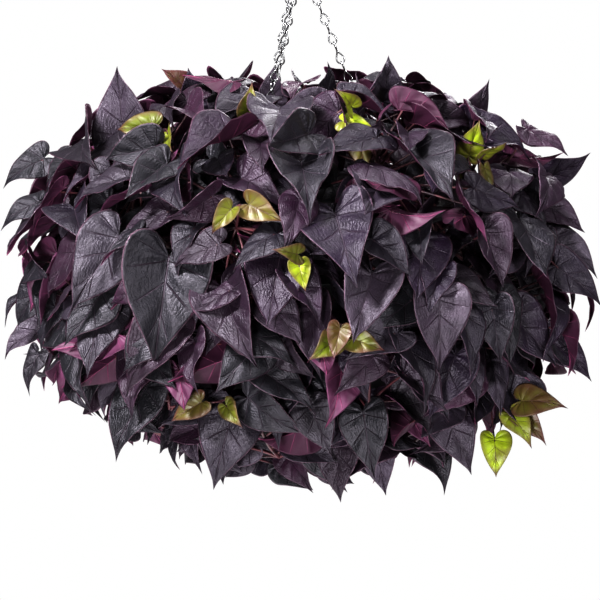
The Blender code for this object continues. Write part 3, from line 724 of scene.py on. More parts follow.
def grow():
    """The vines' paths, every leaf with its petiole, and the young shoots."""
    vines = stem_paths()
    room = Room()
    hardware_shapes(room)
    for name, path in vines.items():
        for before, after in zip(path[1:], path[2:]):
            room.add(tube_shape([before, after], STEM_RADIUS + MM), name)
    spots = stem_spots(vines)
    load = dict.fromkeys(vines, 0)
    leaves = [leaf for leaf in front_leaves() if settle(leaf, spots, room, load)]
    shoots = young_shoots(spots, room)
    leaves += seated_leaves(spots, room, load)
    return vines, leaves, shoots, room, spots, load


# The leaves that only this model holds, between and behind the CAD's

TURNED_SHARE = 0.05
TURNED_SPOTS = ((-290, -450), (-262, -570), (-124, -288), (152, -592), (82, -560))
FILL_TRIES = 18
FRONT_SIDE = -0.1
FRONT_INSET = -3 * MM
MOST_LEAVES = 860
# The solids' leaves are rolled by some degrees, and folded by this much and a multiple of their fold
LOOSEN_SEED = 8
ROLL_SPREAD = 17
MORE_FOLD = (0.1, 1.6)
# How the fills' leaves lie, in the same terms as the solids' leaves
FILL_OUT = (0.4, 0.5)
FILL_DOWN = (0.72, -0.65)
FILL_FACING_OUT = (1, -0.5)
FILL_FACING_UP = (0.35, 0.6)
FILL_LOOSENESS = (0.45, 0.03)
FILL_SHRINKING = (1, -0.012)
FILL_SWING = 2.2
FILL_FOLDS = (0.15, 0.9)
FILL_DROOPS = (0.0, 0.4)
MORE_FRONT_SEED = 21
MORE_FRONT_LEAN = 0.25
MORE_FRONT_FACING = Vector((0, -0.8, 0.3))
MORE_FRONT_SPREAD = 0.4
MORE_FRONT_WOBBLE = 0.35
MORE_FRONT_FOLDS = (0.2, 0.6)
MORE_FRONT_DROOPS = (0.05, 0.3)
LOOSE_LOAD_COST = 4 * MM
LOOSE_CLEARANCE = 0.3 * MM
TIP_CLEARANCE = 0.4 * MM
TIP_LEAN = -0.45
TIP_FACING = Vector((0.1, -0.9, 0.5))
TIP_FOLD = 0.35
TIP_DROOP = 0.2
# How far behind its place a leaf is tried first, and then nearer and in front of it (mm)
FRONT_STEPS = (10, 5, 0, -5, -10, -15, -20, -25, -30)
TIP_STEPS = (10, 4, -2, -8, -14, -20, -26)
# The height of the lowest tips, and how it rises to the left of this x (m)
LOWEST_TIP = -0.688
LEFT_RISE = 0.3
LEFT_START = -0.03
SHORTEST_SHARE = 0.6

# Junction and tip as seen in the frontal plane, and the distance in front of the axis if it is set (mm)
MORE_FRONT = {
    "low_left": ((-172, -557), (-218, -634), None),
    "low_left_edge": ((-130, -629), (-156, -665), None),
    "low_left_middle": ((-80, -590), (-104, -673), None),
    "low_middle": ((-46, -605), (6, -697), None),
    "low_right_middle": ((54, -656), (43, -697), None),
    "low_right": ((101, -646), (103, -706), None),
    "low_right_outer": ((142, -629), (188, -700), None),
    "right_heart": ((228, -533), (246, -593), None),
    "right_upper_heart": ((230, -466), (240, -527), None),
    "right_level": ((168, -425), (234, -452), None),
    "right_folded": ((186, -524), (156, -596), None),
    "middle_small": ((62, -524), (82, -572), None),
    "middle_low": ((12, -584), (36, -638), None),
    "right_gap": ((166, -452), (172, -530), None),
    "low_gap_left": ((-102, -618), (-92, -682), None),
    "low_gap_left_inner": ((-96, -622), (-104, -678), 80),
    "low_gap_right": ((76, -592), (86, -664), None),
    "low_gap_right_inner": ((84, -600), (76, -668), 80),
    "high_gap_right": ((262, -330), (272, -392), None),
    "gap_left": ((-300, -432), (-306, -494), None),
    "side_right_high": ((300, -392), (357, -425), 60),
    "side_right": ((306, -424), (360, -460), 80),
    "side_right_low": ((306, -458), (359, -496), 40),
    "side_right_foot": ((288, -524), (341, -556), 60),
    "side_left_high": ((-312, -350), (-358, -366), 60),
    "side_left": ((-306, -424), (-357, -458), 40),
    "side_left_foot": ((-314, -532), (-334, -572), 60),
}

# Place in x and z, distance in front of the axis, length (mm), heading in x and z, tone, blush
YOUNG_TIPS = {
    "lime_top": ((52, -246), None, 36, (0.95, -0.1), 1.0, 0.0),
    "olive_top": ((40, -226), None, 30, (-0.5, 0.3), 0.3, 0.2),
    "olive_right_top": ((132, -236), None, 44, (0.7, -0.1), 0.1, 0.4),
    "upright_left_top": ((-62, -236), None, 30, (0.15, 1.0), 0.3, 0.3),
    "bronze_left_top": ((-138, -214), None, 34, (-0.5, 0.5), 0.0, 1.0),
    "lime_right": ((202, -290), None, 42, (0.25, 0.9), 0.8, 0.05),
    "lime_low_right": ((234, -630), 140, 42, (0.05, -1.0), 0.9, 0.0),
    "olive_low_right": ((254, -600), 150, 40, (0.5, -0.6), 0.5, 0.15),
    "bronze_low_right": ((266, -584), 140, 48, (1.0, 0.05), 0.1, 0.6),
    "bronze_under_right": ((262, -602), 130, 42, (0.8, -0.6), 0.2, 0.9),
    "bronze_middle": ((48, -486), None, 34, (-0.2, -0.9), 0.1, 0.8),
}

# Each fill's setting and seed, its insets from the seat surface, leaf lengths and clearance (mm)
FILLS = (
    ("outer_fill", 31, (-24, 14), (56, 84), 0.3),
    ("middle_fill", 47, (8, 45), (52, 84), 0.35),
    ("inner_fill", 67, (45, 95), (60, 90), 0.3),
)


def filler_leaf(seat, out, draw, attempt, lengths):
    """A smaller leaf that turns further from its neighbours; a few show their underside."""
    outward = Vector((seat.x, seat.y, 0)).normalized()
    round_axis = UP.cross(outward)
    top = max(out.y, 0.0)
    wobble = any_direction(draw) * graded(FILL_LOOSENESS, attempt)
    swing = draw.uniform(-FILL_SWING, FILL_SWING)
    along = outward * graded(FILL_OUT, top) - UP * graded(FILL_DOWN, top) + round_axis * swing
    normal = outward * graded(FILL_FACING_OUT, top) + UP * graded(FILL_FACING_UP, top) + wobble
    if draw.random() < TURNED_SHARE:
        normal = -normal
    length = draw.uniform(*lengths) * MM * graded(FILL_SHRINKING, attempt)
    return Leaf(seat, along, normal, length, draw.uniform(*FILL_FOLDS), draw.uniform(*FILL_DROOPS))


def loosen(leaf, draw):
    """Rolls the leaf on its midrib, folds it more, and shortens one that hangs too low."""
    angle = math.radians(draw.gauss(0, ROLL_SPREAD))
    normal = leaf.normal * math.cos(angle) + leaf.side * math.sin(angle)
    leaf.normal = normal.normalized()
    leaf.side = leaf.along.cross(leaf.normal)
    leaf.fold = graded(MORE_FOLD, leaf.fold)
    shorten(leaf)


def shorten(leaf):
    """Ends the leaf at the plant's lower edge, which rises to the left."""
    tip = leaf.at(0, 1)
    lowest = LOWEST_TIP + LEFT_RISE * max(LEFT_START - tip.x, 0)
    if tip.z < lowest:
        drop = max(leaf.junction.z - tip.z, MM)
        share = (leaf.junction.z - lowest) / drop
        leaf.length *= min(max(share, SHORTEST_SHARE), 1)


def turn_over(leaves):
    """Shows the underside of the front leaf that is nearest to each of the set spots."""
    for x, z in TURNED_SPOTS:
        spot = Vector((x * MM, seat_depth(x * MM, z * MM), z * MM))
        nearest = min(leaves, key=lambda leaf: (leaf.at(0, MIDRIB_POINT) - spot).length)
        nearest.name = "turned"


def more_leaves(spots, room, load, fill):
    """Leaves that fill the gaps between and behind the others."""
    seed, count, inset, lengths, clearance = fill
    draw = random.Random(seed)
    profile = in_metres(SEAT_PROFILE)
    leaves = []
    for index in range(count):
        if sum(load.values()) > MOST_LEAVES:
            break
        radius, height, out = profile_point(profile, (index + 0.5) / count)
        azimuth = math.degrees(index * GOLDEN_ANGLE) + seed
        seat = polar(radius, azimuth, height)
        inward = Vector((-out.x * seat.x, -out.x * seat.y, 0)) / max(radius, MM) - UP * out.y
        for attempt in range(FILL_TRIES):
            depth = draw.uniform(*inset) * MM
            if seat.y < FRONT_SIDE:
                depth = max(depth, FRONT_INSET)
            leaf = filler_leaf(seat + inward * depth, out, draw, attempt, lengths)
            if within_outline(leaf) and settle_loosely(leaf, spots, room, load, clearance * MM):
                leaves.append(leaf)
                break
    return leaves


def seen_at(across, height, place):
    """The point of that depth that the camera sees there in the frontal plane."""
    nearer = 1 + place / CAMERA_DISTANCE
    return Vector((across * MM * nearer, place, PLANT_MIDDLE + (height * MM - PLANT_MIDDLE) * nearer))


def more_front_leaves(spots, room, load):
    """More leaves that face the front, where the outermost ones leave room."""
    draw = random.Random(MORE_FRONT_SEED)
    leaves = []
    for name, ((x, z), (tip_x, tip_z), depth) in MORE_FRONT.items():
        near = seat_depth(x * MM, z * MM) if depth is None else -depth * MM
        for step in FRONT_STEPS:
            place = near + step * MM
            junction = seen_at(x, z, place)
            run = seen_at(tip_x, tip_z, place) - junction
            run.y = -MORE_FRONT_LEAN * run.length
            outward = Vector((junction.x, junction.y, 0)).normalized()
            wobble = any_direction(draw) * MORE_FRONT_WOBBLE
            normal = MORE_FRONT_FACING + outward * MORE_FRONT_SPREAD + wobble
            fold = draw.uniform(*MORE_FRONT_FOLDS)
            leaf = Leaf(junction, run, normal, run.length, fold, draw.uniform(*MORE_FRONT_DROOPS))
            leaf.name = name
            if settle_loosely(leaf, spots, room, load, LOOSE_CLEARANCE):
                leaves.append(leaf)
                break
    return leaves


def young_tips(spots, room):
    """Single young leaves at set places of the front."""
    leaves = []
    for (x, z), depth, length, (across, up), tone, blush in YOUNG_TIPS.values():
        near = seat_depth(x * MM, z * MM) if depth is None else -depth * MM
        for step in TIP_STEPS:
            place = seen_at(x, z, near + step * MM)
            along = Vector((across, TIP_LEAN, up))
            leaf = Leaf(place, along, TIP_FACING, length * MM, TIP_FOLD, TIP_DROOP)
            if room.is_free(blade_shape(leaf, TIP_CLEARANCE)):
                break
        leaf.tone = tone
        leaf.blush = blush
        nearest = min(spots, key=lambda row: (row[0] - leaf.junction).length)
        leaf.petiole = petiole_path(nearest[0], leaf)
        room.add(blade_shape(leaf, TIP_CLEARANCE), "blade")
        leaves.append(leaf)
    return leaves


def settle_loosely(leaf, spots, room, load, clearance):
    """Takes the leaf's room where a thinner blade fits, on a petiole from a near stem."""
    blade = blade_shape(leaf, clearance)
    if not room.is_free(blade):
        return False
    if not attach(leaf, spots, room, PETIOLE_RADIUS - MM, load):
        reach = [((spot - leaf.junction).length, name, spot) for spot, name, _ in spots]
        gap, name, spot = min(reach, key=lambda row: row[0] + LOOSE_LOAD_COST * load[row[1]])
        if gap > LONGEST_PETIOLE:
            return False
        leaf.petiole = petiole_path(spot, leaf)
        leaf.vine = name
    load[leaf.vine] += 1
    room.add(blade, "blade")
    return True


PLAN = {}


def plan(settings):
    """The whole plant's layout, worked out once: vines, leaves and shoots."""
    if PLAN:
        return PLAN
    vines, leaves, shoots, room, spots, load = grow()
    draw = random.Random(LOOSEN_SEED)
    for leaf in leaves:
        loosen(leaf, draw)
    turn_over(leaves)
    tips = young_tips(spots, room)
    leaves += more_front_leaves(spots, room, load)
    for name, seed, inset, lengths, clearance in FILLS:
        fill = (seed, getattr(settings, name), inset, lengths, clearance)
        leaves += more_leaves(spots, room, load, fill)
    for leaf in leaves:
        shorten(leaf)
    PLAN.update(vines=vines, leaves=leaves, shoots=shoots, tips=tips)
    return PLAN


# Node trees


class Field:
    """A number in a node tree, so that a formula can be written as a sum."""

    def __init__(self, tree, socket):
        self.tree = tree
        self.socket = socket

    def combined(self, operation, *others, swapped=False):
        """The result of a math node on this number and the others."""
        node = self.tree.nodes.new("ShaderNodeMath")
        node.operation = operation
        values = [self, *others]
        if swapped:
            values.reverse()
        for index, value in enumerate(values):
            if isinstance(value, Field):
                self.tree.links.new(value.socket, node.inputs[index])
            else:
                node.inputs[index].default_value = value
        return Field(self.tree, node.outputs[0])

    __add__ = __radd__ = partialmethod(combined, "ADD")
    __sub__ = partialmethod(combined, "SUBTRACT")
    __rsub__ = partialmethod(combined, "SUBTRACT", swapped=True)
    __mul__ = __rmul__ = partialmethod(combined, "MULTIPLY")
    size = partialmethod(combined, "ABSOLUTE")
    sine = partialmethod(combined, "SINE")
    cosine = partialmethod(combined, "COSINE")
    at_least = partialmethod(combined, "MAXIMUM")
    above = partialmethod(combined, "GREATER_THAN")
    to_power = partialmethod(combined, "POWER")
    pingpong = partialmethod(combined, "PINGPONG")


class Nodes:
    """A node tree with short ways to add nodes and to read them."""

    def __init__(self, tree):
        self.tree = tree

    def feed(self, socket, value):
        """Links the value to a node's input, or sets it there."""
        if isinstance(value, Field):
            value = value.socket
        if isinstance(value, bpy.types.NodeSocket):
            self.tree.links.new(value, socket)
        else:
            socket.default_value = value

    def add(self, kind, values=None, **settings):
        """A node with its settings, and its inputs linked or set by name."""
        node = self.tree.nodes.new(kind)
        for key, value in settings.items():
            setattr(node, key, value)
        for key, value in (values or {}).items():
            self.feed(node.inputs[key], value)
        return node

    def field(self, node, output=0):
        return Field(self.tree, node.outputs[output])


class Tree(Nodes):
    """A geometry node tree with named inputs."""

    def __init__(self, name):
        super().__init__(bpy.data.node_groups.new(name, "GeometryNodeTree"))
        for way in ("INPUT", "OUTPUT"):
            self.tree.interface.new_socket("Geometry", in_out=way, socket_type="NodeSocketGeometry")
        self.entry = self.add("NodeGroupInput")
        self.exit = self.add("NodeGroupOutput")

    def input(self, name, kind):
        self.tree.interface.new_socket(name, in_out="INPUT", socket_type=kind)
        return self.entry.outputs[name]

    def number(self, name):
        return Field(self.tree, self.input(name, "NodeSocketFloat"))

    def named(self, name, data_type):
        node = self.add("GeometryNodeInputNamedAttribute", {"Name": name}, data_type=data_type)
        return next(out for out in node.outputs if out.enabled and out.name == "Attribute")

    def attribute(self, name):
        return Field(self.tree, self.named(name, "FLOAT"))

    def vector(self, name):
        return self.named(name, "FLOAT_VECTOR")

    def turn(self, primary, secondary, **axes):
        """The rotation that lays two axes of an instance along the named vectors."""
        node = self.add("FunctionNodeAxesToRotation", {
            "Primary Axis": self.vector(primary), "Secondary Axis": self.vector(secondary)}, **axes)
        return node.outputs["Rotation"]

    def scaled(self, vector, amount):
        node = self.add("ShaderNodeVectorMath", {0: vector, "Scale": amount}, operation="SCALE")
        return node.outputs["Vector"]

    def finish(self, geometry, *coats):
        """Ends the tree in real geometry with each material on its selection, or on everything."""
        made = self.add("GeometryNodeRealizeInstances", {"Geometry": geometry})
        for material, selection in coats:
            values = {"Geometry": made.outputs[0], "Material": material}
            if selection:
                values["Selection"] = selection
            made = self.add("GeometryNodeSetMaterial", values)
        self.tree.links.new(made.outputs[0], self.exit.inputs[0])
        return self.tree


def plain_mesh(obj):
    """The mesh that the object's curve or modifiers give. The object is removed."""
    bpy.context.view_layer.update()
    graph = bpy.context.evaluated_depsgraph_get()
    mesh = bpy.data.meshes.new_from_object(obj.evaluated_get(graph), depsgraph=graph)
    bpy.data.objects.remove(obj, do_unlink=True)
    return mesh


def weld(mesh, distance, needles=0.0):
    """Joins points closer than the distance, drops faces thinner than needles, faces all outward."""
    form = bmesh.new()
    form.from_mesh(mesh)
    if distance:
        bmesh.ops.remove_doubles(form, verts=form.verts, dist=distance)
    if needles:
        bmesh.ops.dissolve_degenerate(form, edges=form.edges, dist=needles)
    bmesh.ops.recalc_face_normals(form, faces=form.faces)
    form.to_mesh(mesh)
    form.free()
    return mesh


def disc(name, radius, height, corners):
    """A level disc round the axis."""
    mesh = bpy.data.meshes.new(name)
    form = bmesh.new()
    bmesh.ops.create_circle(form, cap_ends=True, segments=corners, radius=radius)
    bmesh.ops.translate(form, verts=form.verts, vec=(0, 0, height))
    form.to_mesh(mesh)
    form.free()
    return mesh


def run_tree(obj, tree, values):
    """The plain mesh that a tree makes of this object, which is then removed."""
    modifier = obj.modifiers.new("nodes", "NODES")
    modifier.node_group = tree
    for item in tree.interface.items_tree:
        if item.item_type == "SOCKET" and item.in_out == "INPUT" and item.name in values:
            modifier[item.identifier] = values[item.name]
    return plain_mesh(obj)


def link_object(name, mesh):
    obj = bpy.data.objects.new(name, mesh)
    bpy.context.scene.collection.objects.link(obj)
    return obj


def finish_piece(name, mesh, slot, *nodes):
    """A finished piece that rides on the one body, in place of the frame's nodes."""
    mesh.name = name
    piece = link_object(name, mesh)
    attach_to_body(piece, "root")
    if nodes:
        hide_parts(*nodes)
    return piece


def set_attribute(mesh, name, values, kind="FLOAT"):
    attribute = mesh.attributes.new(name, kind, "POINT")
    if kind == "FLOAT":
        attribute.data.foreach_set("value", values)
    else:
        attribute.data.foreach_set("vector", [part for vector in values for part in vector])


# Materials


class Finish(Nodes):
    """A material's node tree, with short ways to mix colours and patterns."""

    def __init__(self, name, specular, values=None):
        self.material = bpy.data.materials.new(name)
        self.material.use_nodes = True
        super().__init__(self.material.node_tree)
        self.shader = self.tree.nodes["Principled BSDF"]
        for key, value in {"Specular IOR Level": specular, **(values or {})}.items():
            self.feed(self.shader.inputs[key], value)
        self.place = self.add("ShaderNodeTexCoord").outputs["Object"]

    def attribute(self, name):
        return self.field(self.add("ShaderNodeAttribute", attribute_name=name), "Fac")

    def noise(self, scale, detail=3.0, roughness=0.5):
        return self.field(self.add("ShaderNodeTexNoise", {
            "Scale": scale, "Detail": detail, "Roughness": roughness, "Vector": self.place}), "Fac")

    def ramp(self, value, low, high):
        """The value stretched so that low gives 0 and high gives 1, and clamped."""
        return self.field(self.add("ShaderNodeMapRange", {
            "From Min": low, "From Max": high, "Value": value}), "Result")

    def patches(self, low, high, *noise):
        """Noise stretched in the same way."""
        return self.ramp(self.noise(*noise), low, high)

    def mix(self, share, first, second):
        """A colour between two, each a colour value or the socket of one."""
        node = self.add("ShaderNodeMix", {"Factor": share}, data_type="RGBA")
        for name, value in (("A", first), ("B", second)):
            socket = next(item for item in node.inputs if item.name == name and item.type == "RGBA")
            self.feed(socket, value if isinstance(value, bpy.types.NodeSocket) else (*value, 1))
        return next(item for item in node.outputs if item.type == "RGBA")

    def colour(self, socket):
        self.feed(self.shader.inputs["Base Color"], socket)

    def roughness(self, value):
        self.feed(self.shader.inputs["Roughness"], value)

    def bump(self, height, distance):
        node = self.add("ShaderNodeBump", {"Distance": distance, "Strength": 1.0, "Height": height})
        self.feed(self.shader.inputs["Normal"], node.outputs["Normal"])


def vein_pattern(finish):
    """1 on the midrib and on every second ray of the blade, and 0 between them."""
    ray = finish.attribute("ray")
    lateral = finish.ramp((ray - 1.0).pingpong(1.0), 0.085, 0.0)
    midrib = finish.ramp(finish.attribute("across").size(), 0.011, 0.004)
    fade = finish.ramp(finish.attribute("fringe"), 1.0, 0.5)
    return (lateral * fade).at_least(midrib)


def upper_finish(settings):
    """The leaf's upper side: purple-black with a satin sheen, veins sunk and a thin pink edge; some leaves
    also get a painted grey-lilac sheen in their colour.
    """
    finish = Finish("leaf_upper", 0.6, {
        "Sheen Weight": 0.025,
        "Sheen Roughness": 0.4,
        "Sheen Tint": (0.75, 0.52, 0.85, 1),
        "Specular Tint": (0.95, 0.88, 1.0, 1),
    })
    tone = finish.attribute("tone")
    blush = finish.attribute("blush")
    veins = vein_pattern(finish)
    mottle = finish.noise(45, 4.0, 0.6)
    cross = (finish.attribute("fringe") * 9.0 + finish.noise(110, 2.0) * 2.5).pingpong(0.5)
    base = finish.mix(tone, settings.leaf_green_black, settings.leaf_purple_black)
    base = finish.mix(blush, base, settings.leaf_wine)
    # Painted sheen: a lighter grey-lilac mixed into the colour of some leaves, standing in for their satin
    # highlights
    base = finish.mix(finish.attribute("bloom") * 0.75, base, settings.leaf_painted_sheen)
    darker = finish.mix(finish.ramp(mottle, 0.35, 0.7) * 0.6, base, (0.006, 0.005, 0.007))
    veined = finish.mix(veins * 0.5, darker, settings.leaf_vein)
    edge = finish.ramp(finish.attribute("fringe"), 0.96, 0.995)
    finish.colour(finish.mix(edge * 0.45, veined, settings.leaf_edge))
    finish.roughness(finish.patches(0.2, 0.8, 90, 3.0) * 0.16 + 0.37)
    grain = finish.noise(230, 3.0) + finish.noise(650, 2.0) * 0.7
    finish.bump(grain + mottle * 0.8 + cross * 0.5 - veins * 1.5, 0.0009)
    return finish.material


def under_finish(settings):
    """The leaf's underside: magenta with raised darker veins."""
    finish = Finish("leaf_under", 0.4)
    tone = finish.attribute("tone")
    veins = vein_pattern(finish)
    base = finish.mix(finish.ramp(tone, 0.0, 0.35), settings.leaf_under, settings.leaf_under_dark)
    base = finish.mix(finish.patches(0.3, 0.65, 50) * 0.75, base, (0.04, 0.01, 0.028))
    finish.colour(finish.mix(veins * 0.6, base, (0.32, 0.06, 0.16)))
    finish.roughness(finish.patches(0.2, 0.8, 150) * 0.12 + 0.5)
    finish.bump(finish.noise(350) * 0.4 + veins, 0.0006)
    return finish.material


def young_finish(settings):
    """A young leaf: chartreuse, bronzed at its edge and along its veins."""
    finish = Finish("leaf_young", 0.45)
    tone = finish.attribute("tone")
    veins = vein_pattern(finish)
    base = finish.mix(tone, settings.young_green, settings.young_lime)
    base = finish.mix(finish.attribute("blush"), base, settings.young_bronze)
    base = finish.mix(finish.patches(0.45, 0.8, 80) * 0.5, base, (0.09, 0.12, 0.01))
    base = finish.mix(finish.patches(0.5, 0.66, 38) * 0.6, base, settings.young_bronze)
    rim = finish.ramp(finish.attribute("fringe"), 0.6, 1.0)
    base = finish.mix(rim * 0.6, base, settings.young_edge)
    tail = finish.ramp(finish.attribute("down"), 0.75, 1.0)
    base = finish.mix(tail * 0.8, base, settings.young_edge)
    finish.colour(finish.mix(veins * 0.7, base, (0.10, 0.035, 0.04)))
    finish.roughness(finish.patches(0.2, 0.8, 120) * 0.12 + 0.38)
    finish.bump(finish.noise(350) * 0.4 - veins * 0.8, 0.0005)
    return finish.material


def stem_finish(settings):
    """Stems and petioles: dark purple, flushed with pink where the noise is high."""
    finish = Finish("stem_skin", 0.5)
    flush = finish.patches(0.35, 0.62, 38, 2.0)
    base = finish.mix(flush, settings.stem_dark, settings.stem_pink)
    finish.colour(finish.mix(finish.patches(0.5, 0.8, 300) * 0.4, base, (0.05, 0.02, 0.02)))
    finish.roughness(finish.patches(0.2, 0.8, 120) * 0.1 + 0.4)
    finish.bump(finish.noise(500), 0.0002)
    return finish.material


def steel_finish():
    """Bright zinc-plated wire with dull patches."""
    finish = Finish("zinc_wire", 0.5, {"Metallic": 1.0})
    dull = finish.patches(0.4, 0.7, 180, 4.0)
    finish.colour(finish.mix(dull, (0.42, 0.42, 0.43), (0.20, 0.20, 0.21)))
    finish.roughness(dull * 0.2 + 0.2)
    finish.bump(finish.noise(900), 0.00005)
    return finish.material


def pot_finish(settings):
    """Black moulded plastic with a fine texture and dusty scuffs."""
    finish = Finish("pot_black", 0.4)
    dust = finish.patches(0.5, 0.8, 22, 5.0, 0.65)
    finish.colour(finish.mix(dust * 0.5, settings.pot_colour, (0.045, 0.04, 0.035)))
    finish.roughness(dust * 0.2 + 0.42)
    finish.bump(finish.noise(1100), 0.00015)
    return finish.material


def soil_finish():
    """Dark brown potting mix."""
    finish = Finish("potting_mix", 0.2)
    grain = finish.noise(160, 6.0, 0.7)
    finish.colour(finish.mix(finish.ramp(grain, 0.35, 0.7), (0.012, 0.008, 0.005), (0.075, 0.045, 0.026)))
    finish.roughness(grain * 0.1 + 0.85)
    finish.bump(grain, 0.002)
    return finish.material


def perlite_finish():
    """Off-white perlite grains."""
    finish = Finish("perlite", 0.2)
    grain = finish.noise(700, 4.0)
    finish.colour(finish.mix(grain, (0.62, 0.60, 0.55), (0.82, 0.80, 0.76)))
    finish.roughness(grain * 0.1 + 0.8)
    finish.bump(grain, 0.0004)
    return finish.material


FINISHES = {}


def finish_of(name):
    """The named material, made the first time that it is asked for."""
    settings = bpy.context.scene.vine_settings
    makers = {
        "upper": lambda: upper_finish(settings),
        "under": lambda: under_finish(settings),
        "young": lambda: young_finish(settings),
        "stem": lambda: stem_finish(settings),
        "steel": steel_finish,
        "pot": lambda: pot_finish(settings),
        "soil": soil_finish,
        "perlite": perlite_finish,
    }
    if name not in FINISHES:
        FINISHES[name] = makers[name]()
    return FINISHES[name]


# The leaf blade: rays from the midrib to the margin, as shares of its length

BLADE_RAYS = (
    (0.0, (0.055, -0.13)), (0.0, (0.165, -0.215)), (0.0, (0.295, -0.215)), (0.0, (0.405, -0.125)),
    (0.0, (0.455, 0.03)), (0.03, (0.452, 0.20)), (0.12, (0.405, 0.37)), (0.24, (0.32, 0.54)),
    (0.38, (0.215, 0.70)), (0.55, (0.115, 0.84)), (0.75, (0.04, 0.95)), (1.06, (0.0, 1.06)),
)
RAY_PARTS = 2
TYPICAL_LENGTH = 80
RAY_STEPS = (0.0, 0.09, 0.35, 0.65, 0.92, 1.0)
BLADE_WELD = 1e-5
BLADE_NEEDLES = 1e-6

# How leaves differ in their looks
LEAF_LOOKS = ("tone", "blush", "turned", "phase", "tip_curl", "twist", "cup", "narrow", "bloom")
# Leaves are purpler to the right and higher up, and greener elsewhere
TONE_ACROSS = 1.3
TONE_UP = 0.8
TONE_SHIFT = 0.28
# Mean and spread, before the value is held between 0 and 1
BLUSHES = (0.0, 0.35)
# How much painted sheen, a grey-lilac highlight put into the colour, each leaf gets
PAINTED_SHEENS = (-0.5, 0.7)
YOUNG_BLUSHES = (0.0, 0.0, 0.2, 0.3, 0.6)
# Least and most
TIP_CURLS = (-0.4, 1.6)
TWISTS = (-0.35, 0.35)
CUPS = (-0.4, 1.3)
NARROWINGS = (0.0, 0.22)
# A petiole's arch and how it thins, as shares
PETIOLE_CREST = 0.55
PETIOLE_RISE = 0.1
PETIOLE_BEHIND = 0.12
PETIOLE_STEPS = 9
PETIOLE_START = 1.1
PETIOLE_THINNING = 0.25
# The relief of a blade
BULGE_POWER = 0.7
RUFFLE_PACE = 1.1
FOLD_FADE = 0.25
TIP_START = 0.62
CRUMPLE_SCALE = 38.0


def fine_rays():
    """The rays with smooth ones set between them: number, foot on the midrib, end on the margin."""
    rows = [Vector((foot, out, down)) for foot, (out, down) in BLADE_RAYS]
    rays = []
    for index in range(len(rows) - 1):
        before = rows[max(index - 1, 0)]
        start = rows[index]
        end = rows[index + 1]
        after = rows[min(index + 2, len(rows) - 1)]
        for part in range(RAY_PARTS):
            share = part / RAY_PARTS
            rays.append((index + share, between(before, start, end, after, share)))
    rays.append((len(rows) - 1, rows[-1]))
    return rays


def blade_template(settings):
    """A flat blade one unit long, closed by an upper and a lower side that share its margin."""
    points = []
    facts = {"across": [], "down": [], "fringe": [], "ray": [], "level": []}
    faces = []
    rays = fine_rays()
    width = len(RAY_STEPS)
    for level in (1, -1):
        for side in (1, -1):
            start = len(points)
            for ray, (foot, out, down) in rays:
                for share in RAY_STEPS:
                    across = out * share * side
                    along = foot + (down - foot) * share
                    rim = share == 1 or ray == 0 or ray == rays[-1][0]
                    height = 0 if rim else level
                    points.append((across, along, height * settings.blade_thickness / 2 / TYPICAL_LENGTH))
                    row = (across, along, share, ray, height)
                    for name, value in zip(facts, row):
                        facts[name].append(value)
            for ray in range(len(rays) - 1):
                for step in range(width - 1):
                    corner = start + ray * width + step
                    halves = ((0, 1, width + 1), (0, width + 1, width))
                    for half in halves:
                        face = [corner + shift for shift in half]
                        faces.append(face if level * side > 0 else face[::-1])
    mesh = bpy.data.meshes.new("blade_template")
    mesh.from_pydata(points, [], faces)
    for name, values in facts.items():
        set_attribute(mesh, name, values)
    template = link_object("blade_template", weld(mesh, BLADE_WELD, BLADE_NEEDLES))
    template.hide_render = True
    return template


